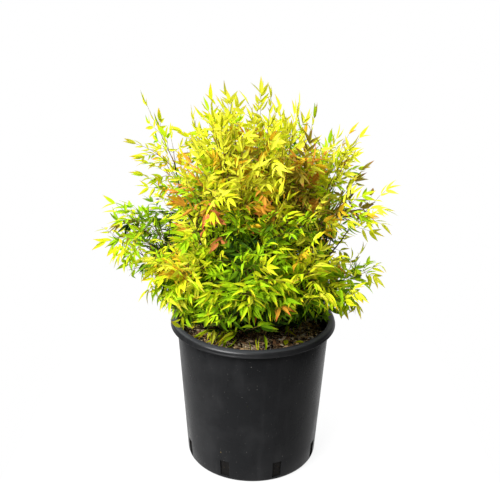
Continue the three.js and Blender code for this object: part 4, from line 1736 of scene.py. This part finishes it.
# groups of leaves that the sun has turned: tint, place, and radius in metres, as seen from the heart
SUNNED = (
    ("gold", (-0.154, -0.069, 0.546), 0.032),
    ("orange", (-0.125, -0.105, 0.540), 0.040),
    ("orange", (-0.170, -0.098, 0.535), 0.036),
    ("coral", (-0.100, -0.140, 0.534), 0.022),
    ("olive", (-0.262, -0.024, 0.455), 0.024),
    ("orange", (0.012, -0.150, 0.556), 0.020),
    ("olive", (0.078, -0.080, 0.568), 0.032),
    ("orange", (0.104, -0.075, 0.566), 0.024),
    ("olive", (0.215, 0.001, 0.550), 0.036),
    ("olive", (0.163, -0.039, 0.508), 0.026),
    ("gold", (0.146, -0.103, 0.485), 0.026),
    ("orange", (0.165, -0.105, 0.446), 0.022),
    ("gold", (-0.140, -0.165, 0.455), 0.020),
    ("gold", (-0.078, -0.193, 0.437), 0.012),
    ("gold", (0.069, -0.172, 0.472), 0.012),
    ("coral", (-0.058, -0.159, 0.510), 0.014),
    ("gold", (-0.117, -0.183, 0.387), 0.026),
    ("coral", (0.216, -0.033, 0.386), 0.034),
)
SUNNED_OUTSIDE = 0.72  # as a share of the crown's reach
tint_names = list(TINTS)
print(len(tint_names), "tints and", len(SUNNED), "sunned groups")

# %% Deal out the tints
BLUSH_SHARE = 0.26  # of the sprays in the middle of a band of height, and BLUSH_REST of those elsewhere
BLUSH_REST = 0.005
BLUSH_HEIGHT = 0.70
BLUSH_BAND = 0.14
BLUSH_OUTSIDE = 0.55  # as a share of the crown's reach
BLUSH_SHARES = (0.60, 0.22, 0.03, 0.15)
SPRAY_BLUSH = 0.75  # of the twigs of a blushing spray or a sunned group


def twig_tints():
    """The number of each side twig's tint: that of its age and painted light and shade, its blushing spray,
    or its sunned group.
    """
    middles = twigs.lines.point(np.array([1.0]))[:, 0]
    outside = outside_share(middles)
    height = crown_height(middles)
    # painted light and shade besides age: lighter greens outside and high up, darker ones inside and low down
    youth_and_light = YOUTH_AND_LIGHT_OUTSIDE * outside + YOUTH_AND_LIGHT_HEIGHT * height
    out = unit(middles - HEART)
    # painted shade and painted light on the sides of the crown
    for side, half_angle, loss in PAINTED_LIGHT_AND_SHADE_SIDES:
        youth_and_light -= loss * nearness(out, side, half_angle)
    # the suckers' young green, lifted further as painted light against the crown's shade
    young = np.array([SUCKER_YOUTH_AND_LIGHT * (spray.shoot.number >= SUCKER_KEYS) for spray in sprays])
    youth_and_light += (young + growth.normal(0, YOUTH_SPREAD, len(sprays)))[twigs.spray]
    youth_and_light += growth.normal(0, YOUTH_SPREAD / 2, len(middles))
    tints = np.searchsorted(AGE_AND_LIGHT_STEPS, youth_and_light)

    band = np.exp(-(((height - BLUSH_HEIGHT) / BLUSH_BAND) ** 2)) * (outside > BLUSH_OUTSIDE)
    blushing = growth.uniform(size=len(sprays))[twigs.spray] < BLUSH_SHARE * band + BLUSH_REST
    blushing &= growth.uniform(size=len(middles)) < SPRAY_BLUSH
    blush = growth.choice(len(BLUSHES), len(sprays), p=BLUSH_SHARES)
    tints = np.where(blushing, blush[twigs.spray] + len(GREENS), tints)
    for tint, place, radius in SUNNED:
        toward = place - HEART
        far = np.linalg.norm(toward)
        near = (out @ toward / far > math.cos(radius / far)) & (outside > SUNNED_OUTSIDE)
        near &= growth.uniform(size=len(middles)) < SPRAY_BLUSH
        tints[near] = tint_names.index(tint)
    return tints


print("blushes:", *BLUSHES)

# %% Let leaflets stray from their twig's tint
STRAY_SHARE = 0.30
DRY_SHARE = 0.006
DRY_SHARE_TOP = 0.03
DRY_TOP = 0.6  # where the top begins for these, as a share of the crown's height
DRY_SIZE = 0.35  # dry leaflets are shrivelled


def leaflet_tints(by_twig):
    """Each leaflet's tint: its twig's, now and then the next one, and rarely dry."""
    tints = by_twig[leaflets.twig]
    count = len(tints)
    stray = (tints < len(GREENS)) & (growth.uniform(size=count) < STRAY_SHARE)
    tints = np.where(stray, np.clip(tints + growth.choice((-1, 1), count), 0, len(GREENS) - 1), tints)
    dry_share = np.where(crown_height(leaflets.root) > DRY_TOP, DRY_SHARE_TOP, DRY_SHARE)
    return np.where(growth.uniform(size=count) < dry_share, tint_names.index("dry_brown"), tints)


tints = leaflet_tints(twig_tints())
dry = tints == tint_names.index("dry_brown")
leaflets.length = np.where(dry[:, None], DRY_SIZE, 1.0) * leaflets.length
for number, name in enumerate(tint_names):
    print(f"{name:12}", int((tints == number).sum()))

# %% [markdown]
# ### The leaflet
#
# A leaflet of heavenly bamboo is lance-shaped, widest below its middle, with a long fine tip. It is folded
# along the midrib and arches down to its tip. The template is a flat grid, two faces wide, drawn in to this
# outline and marked sharp along the midrib. Fold, arch and size differ from leaflet to leaflet, so they
# come last.

# %% Shape the leaflet
LEAF_ROWS = 6
OUTLINE_RISE = 0.78
OUTLINE_FALL = 1.35
WIDEST = OUTLINE_RISE / (OUTLINE_RISE + OUTLINE_FALL)
TIP_ROWS = 2  # faces of these rows take the tip's colour
END_MERGE = 1e-4  # the corners at the blade's two ends run together, each into one


def outline(y):
    """The blade's half width at a share of its length, 1 where it is widest."""
    return (y / WIDEST) ** OUTLINE_RISE * ((1 - y) / (1 - WIDEST)) ** OUTLINE_FALL


def leaflet_shape():
    shape = bmesh.new()
    bmesh.ops.create_grid(shape, x_segments=2, y_segments=LEAF_ROWS, size=0.5)
    bmesh.ops.translate(shape, verts=shape.verts, vec=(0, 0.5, 0))
    for corner in shape.verts:
        corner.co.x *= 2 * outline(min(max(corner.co.y, 0.0), 1.0))
    bmesh.ops.remove_doubles(shape, verts=shape.verts, dist=END_MERGE)
    for face in shape.faces:
        face.smooth = True
        face.material_index = int(face.calc_center_median().y > 1 - TIP_ROWS / LEAF_ROWS)
    for edge in shape.edges:
        edge.smooth = max(abs(corner.co.x) for corner in edge.verts) > MERGE_DISTANCE
    return shape


leaf_template = Template(leaflet_shape())
print("a leaflet has", leaf_template.triangles, "triangles")

# %% Fold and arch every leaflet
LEAFLET_WIDTHS = (0.21, 0.31)  # as shares of the length
SHADE_BREADTH = 0.5  # how much broader leaflets deep inside are
SUCKER_BREADTH = 0.78
FOLDS = (0.15, 0.75)  # radians that each half blade stands up from flat


def leaflet_corners():
    """Where the template's corners go on every leaflet."""
    count = len(leaflets.root)
    x, y, _z = leaf_template.corners.T
    deep = 1 - outside_share(leaflets.root)[:, None] / SHADE_EDGE
    broad = 1 + SHADE_BREADTH * np.clip(deep, 0, 1)
    broad = np.where(twigs.hangs[leaflets.twig][:, None], SUCKER_BREADTH, broad)
    half = leaflets.length * growth.uniform(*LEAFLET_WIDTHS, (count, 1)) / 2 * broad
    fold = growth.uniform(*FOLDS, (count, 1))
    side = np.cross(leaflets.along, leaflets.normal)[:, None] * (x * half * np.cos(fold))[..., None]
    raised = leaflets.normal[:, None] * (np.abs(x) * half * np.sin(fold))[..., None]
    return leaflets.midrib(y) + side + raised


corners = leaflet_corners()
print(len(corners), "leaflets are", round(float(np.median(leaflets.length)), 3), "m long in the middle")

# %% [markdown]
# ### Leaf finish
#
# The blades are waxy and thin: light from behind comes through them, so a Translucent shader is mixed in by
# a fixed share. Nothing varies over a blade, because what varies is dealt out from leaflet to leaflet.

# %% Mix the leaf finish
THROUGH = 0.35
THROUGH_DARK = 0.12  # for the old leaves, which are thicker
DARK = ("pine", "deep_green", "dry_brown")
LEAF_ROUGHNESS = 0.5
LEAF_SHINE = 0.06


def leaf_finish(name, colour, through_share):
    """The finish of a blade, which lets a share of the light from behind through."""
    paint = (*colour, 1)
    finish = Finish(name, Base_Color=paint, Roughness=LEAF_ROUGHNESS, Specular_IOR_Level=LEAF_SHINE)
    blade = Wire(finish.tree, finish.surface.outputs["BSDF"])
    through = blade.node("ShaderNodeBsdfTranslucent", {}, {"Color": paint})
    mixed = blade.node("ShaderNodeMixShader", {}, {0: through_share, 1: blade, 2: through})
    finish.tree.links.new(mixed.socket, finish.tree.nodes["Material Output"].inputs["Surface"])
    return finish


print("blades let", THROUGH, "through, and old ones", THROUGH_DARK)

# %% Grow the leaflets as pieces
TIP_SHARE = 0.55  # of the leaflets have a tip of another colour


def make_leaflets():
    tipped_ones = growth.uniform(size=len(corners)) < TIP_SHARE
    finishes = np.where(tipped_ones[:, None], leaf_template.finishes[None], 0)
    for number, (name, (blade, tip)) in enumerate(TINTS.items()):
        rows = tints == number
        mesh = joined(f"leaves_{name}", leaf_template, corners[rows], finishes[rows])
        make_smooth(mesh)
        share = THROUGH_DARK if name in DARK else THROUGH
        paints = [leaf_finish(f"leaf_{name}", blade, share), leaf_finish(f"leaf_tip_{name}", tip, share)]
        ride_as(f"leaves_{name}", mesh, paints, foliage_nodes)
    print("leaflets:", len(corners) * leaf_template.triangles, "triangles")


make_leaflets()

# %% [markdown]
# ### Fallen leaflets
#
# A few leaflets have dropped on the bark under the plant. They have the same template, but lie flat.

# %% Lay the fallen leaflets
# place, and turn in degrees
FALLEN = (
    (0.093, -0.056, 178),
    (0.058, -0.066, 84),
    (-0.060, 0.094, 20),
    (0.020, 0.112, 140),
    (-0.104, 0.010, 250),
)
FALLEN_LENGTH = 0.021
FALLEN_WIDTH = 0.0085
FALLEN_RISE = 0.0055  # above the body of the mix, on its chips
FALLEN_BOW = 0.006
FALLEN_FOLD = 0.15


def make_fallen_leaflets():
    x, y, _z = leaf_template.corners.T
    corners = []
    for east, north, turn in FALLEN:
        root = np.array((east, north, mix_height(east, north) + FALLEN_RISE))
        along = heading(0, turn)
        side = np.cross(along, UP)
        ahead = y[:, None] * along * FALLEN_LENGTH + UP * (FALLEN_BOW * y * (1 - y) * 2)[:, None]
        raised = UP * (np.abs(x) * FALLEN_WIDTH * FALLEN_FOLD)[:, None]
        corners.append(root + ahead + side * (x * FALLEN_WIDTH / 2)[:, None] + raised)
    mesh = joined("fallen_leaflets", leaf_template, np.array(corners))
    make_smooth(mesh)
    blade, tip = TINTS["yellow_lime"]
    paints = [leaf_finish("fallen_blade", blade, THROUGH), leaf_finish("fallen_tip", tip, THROUGH)]
    ride_as("fallen_leaflets", mesh, paints)
    print(len(FALLEN), "fallen leaflets")


make_fallen_leaflets()

# %% [markdown]
# ### Stems, rachises and side twigs
#
# A stem runs on from its cane through the middle of its mass. Rachises are thin as wire and turn reddish in
# the sun, and side twigs are thin as thread and olive. All are tapering tubes, joined by kind.

# %% Define how tubes become a piece
def make_tubes(name, lines, radii, finish, sides, rings):
    template = Template(tube_shape(sides, rings))
    first, last = radii
    corners = along_bends(template, lines, lambda t, _angle: first + (last - first) * t)
    mesh = joined(name, template, corners)
    make_smooth(mesh)
    ride_as(name, mesh, [finish], foliage_nodes)
    print(name, len(corners), "tubes of", template.triangles, "triangles")


print("tubes taper from root to tip")

# %% Grow the stems, the rachises and the side twigs
STEM_RADII = (0.0015, 0.0008)
STEM_BROWN = (0.036, 0.024, 0.008, 1)
RACHIS_RADII = (0.0007, 0.0004)
RACHIS_RED = (0.090, 0.040, 0.012, 1)
TWIG_RADII = (0.00042, 0.00025)
TWIG_OLIVE = (0.200, 0.150, 0.022, 1)

stem_bark = plain_finish("stem_bark", STEM_BROWN, roughness=0.6)
rachis_skin = plain_finish("rachis_skin", RACHIS_RED, roughness=0.5)
twig_skin = plain_finish("twig_skin", TWIG_OLIVE, roughness=0.5)
make_tubes("stems", rows_of(stems), STEM_RADII, stem_bark, sides=6, rings=9)
bearing = np.unique(leaflets.spray)  # the other compound leaves have lost all their leaflets
rachises = rows_of([sprays[k].rachis for k in bearing])
make_tubes("rachises", rachises, RACHIS_RADII, rachis_skin, sides=4, rings=4)
leafy = np.unique(leaflets.twig)
twig_lines = Bend(twigs.lines.start[leafy], twigs.lines.bend[leafy], twigs.lines.end[leafy])
make_tubes("side_twigs", twig_lines, TWIG_RADII, twig_skin, sides=3, rings=2)
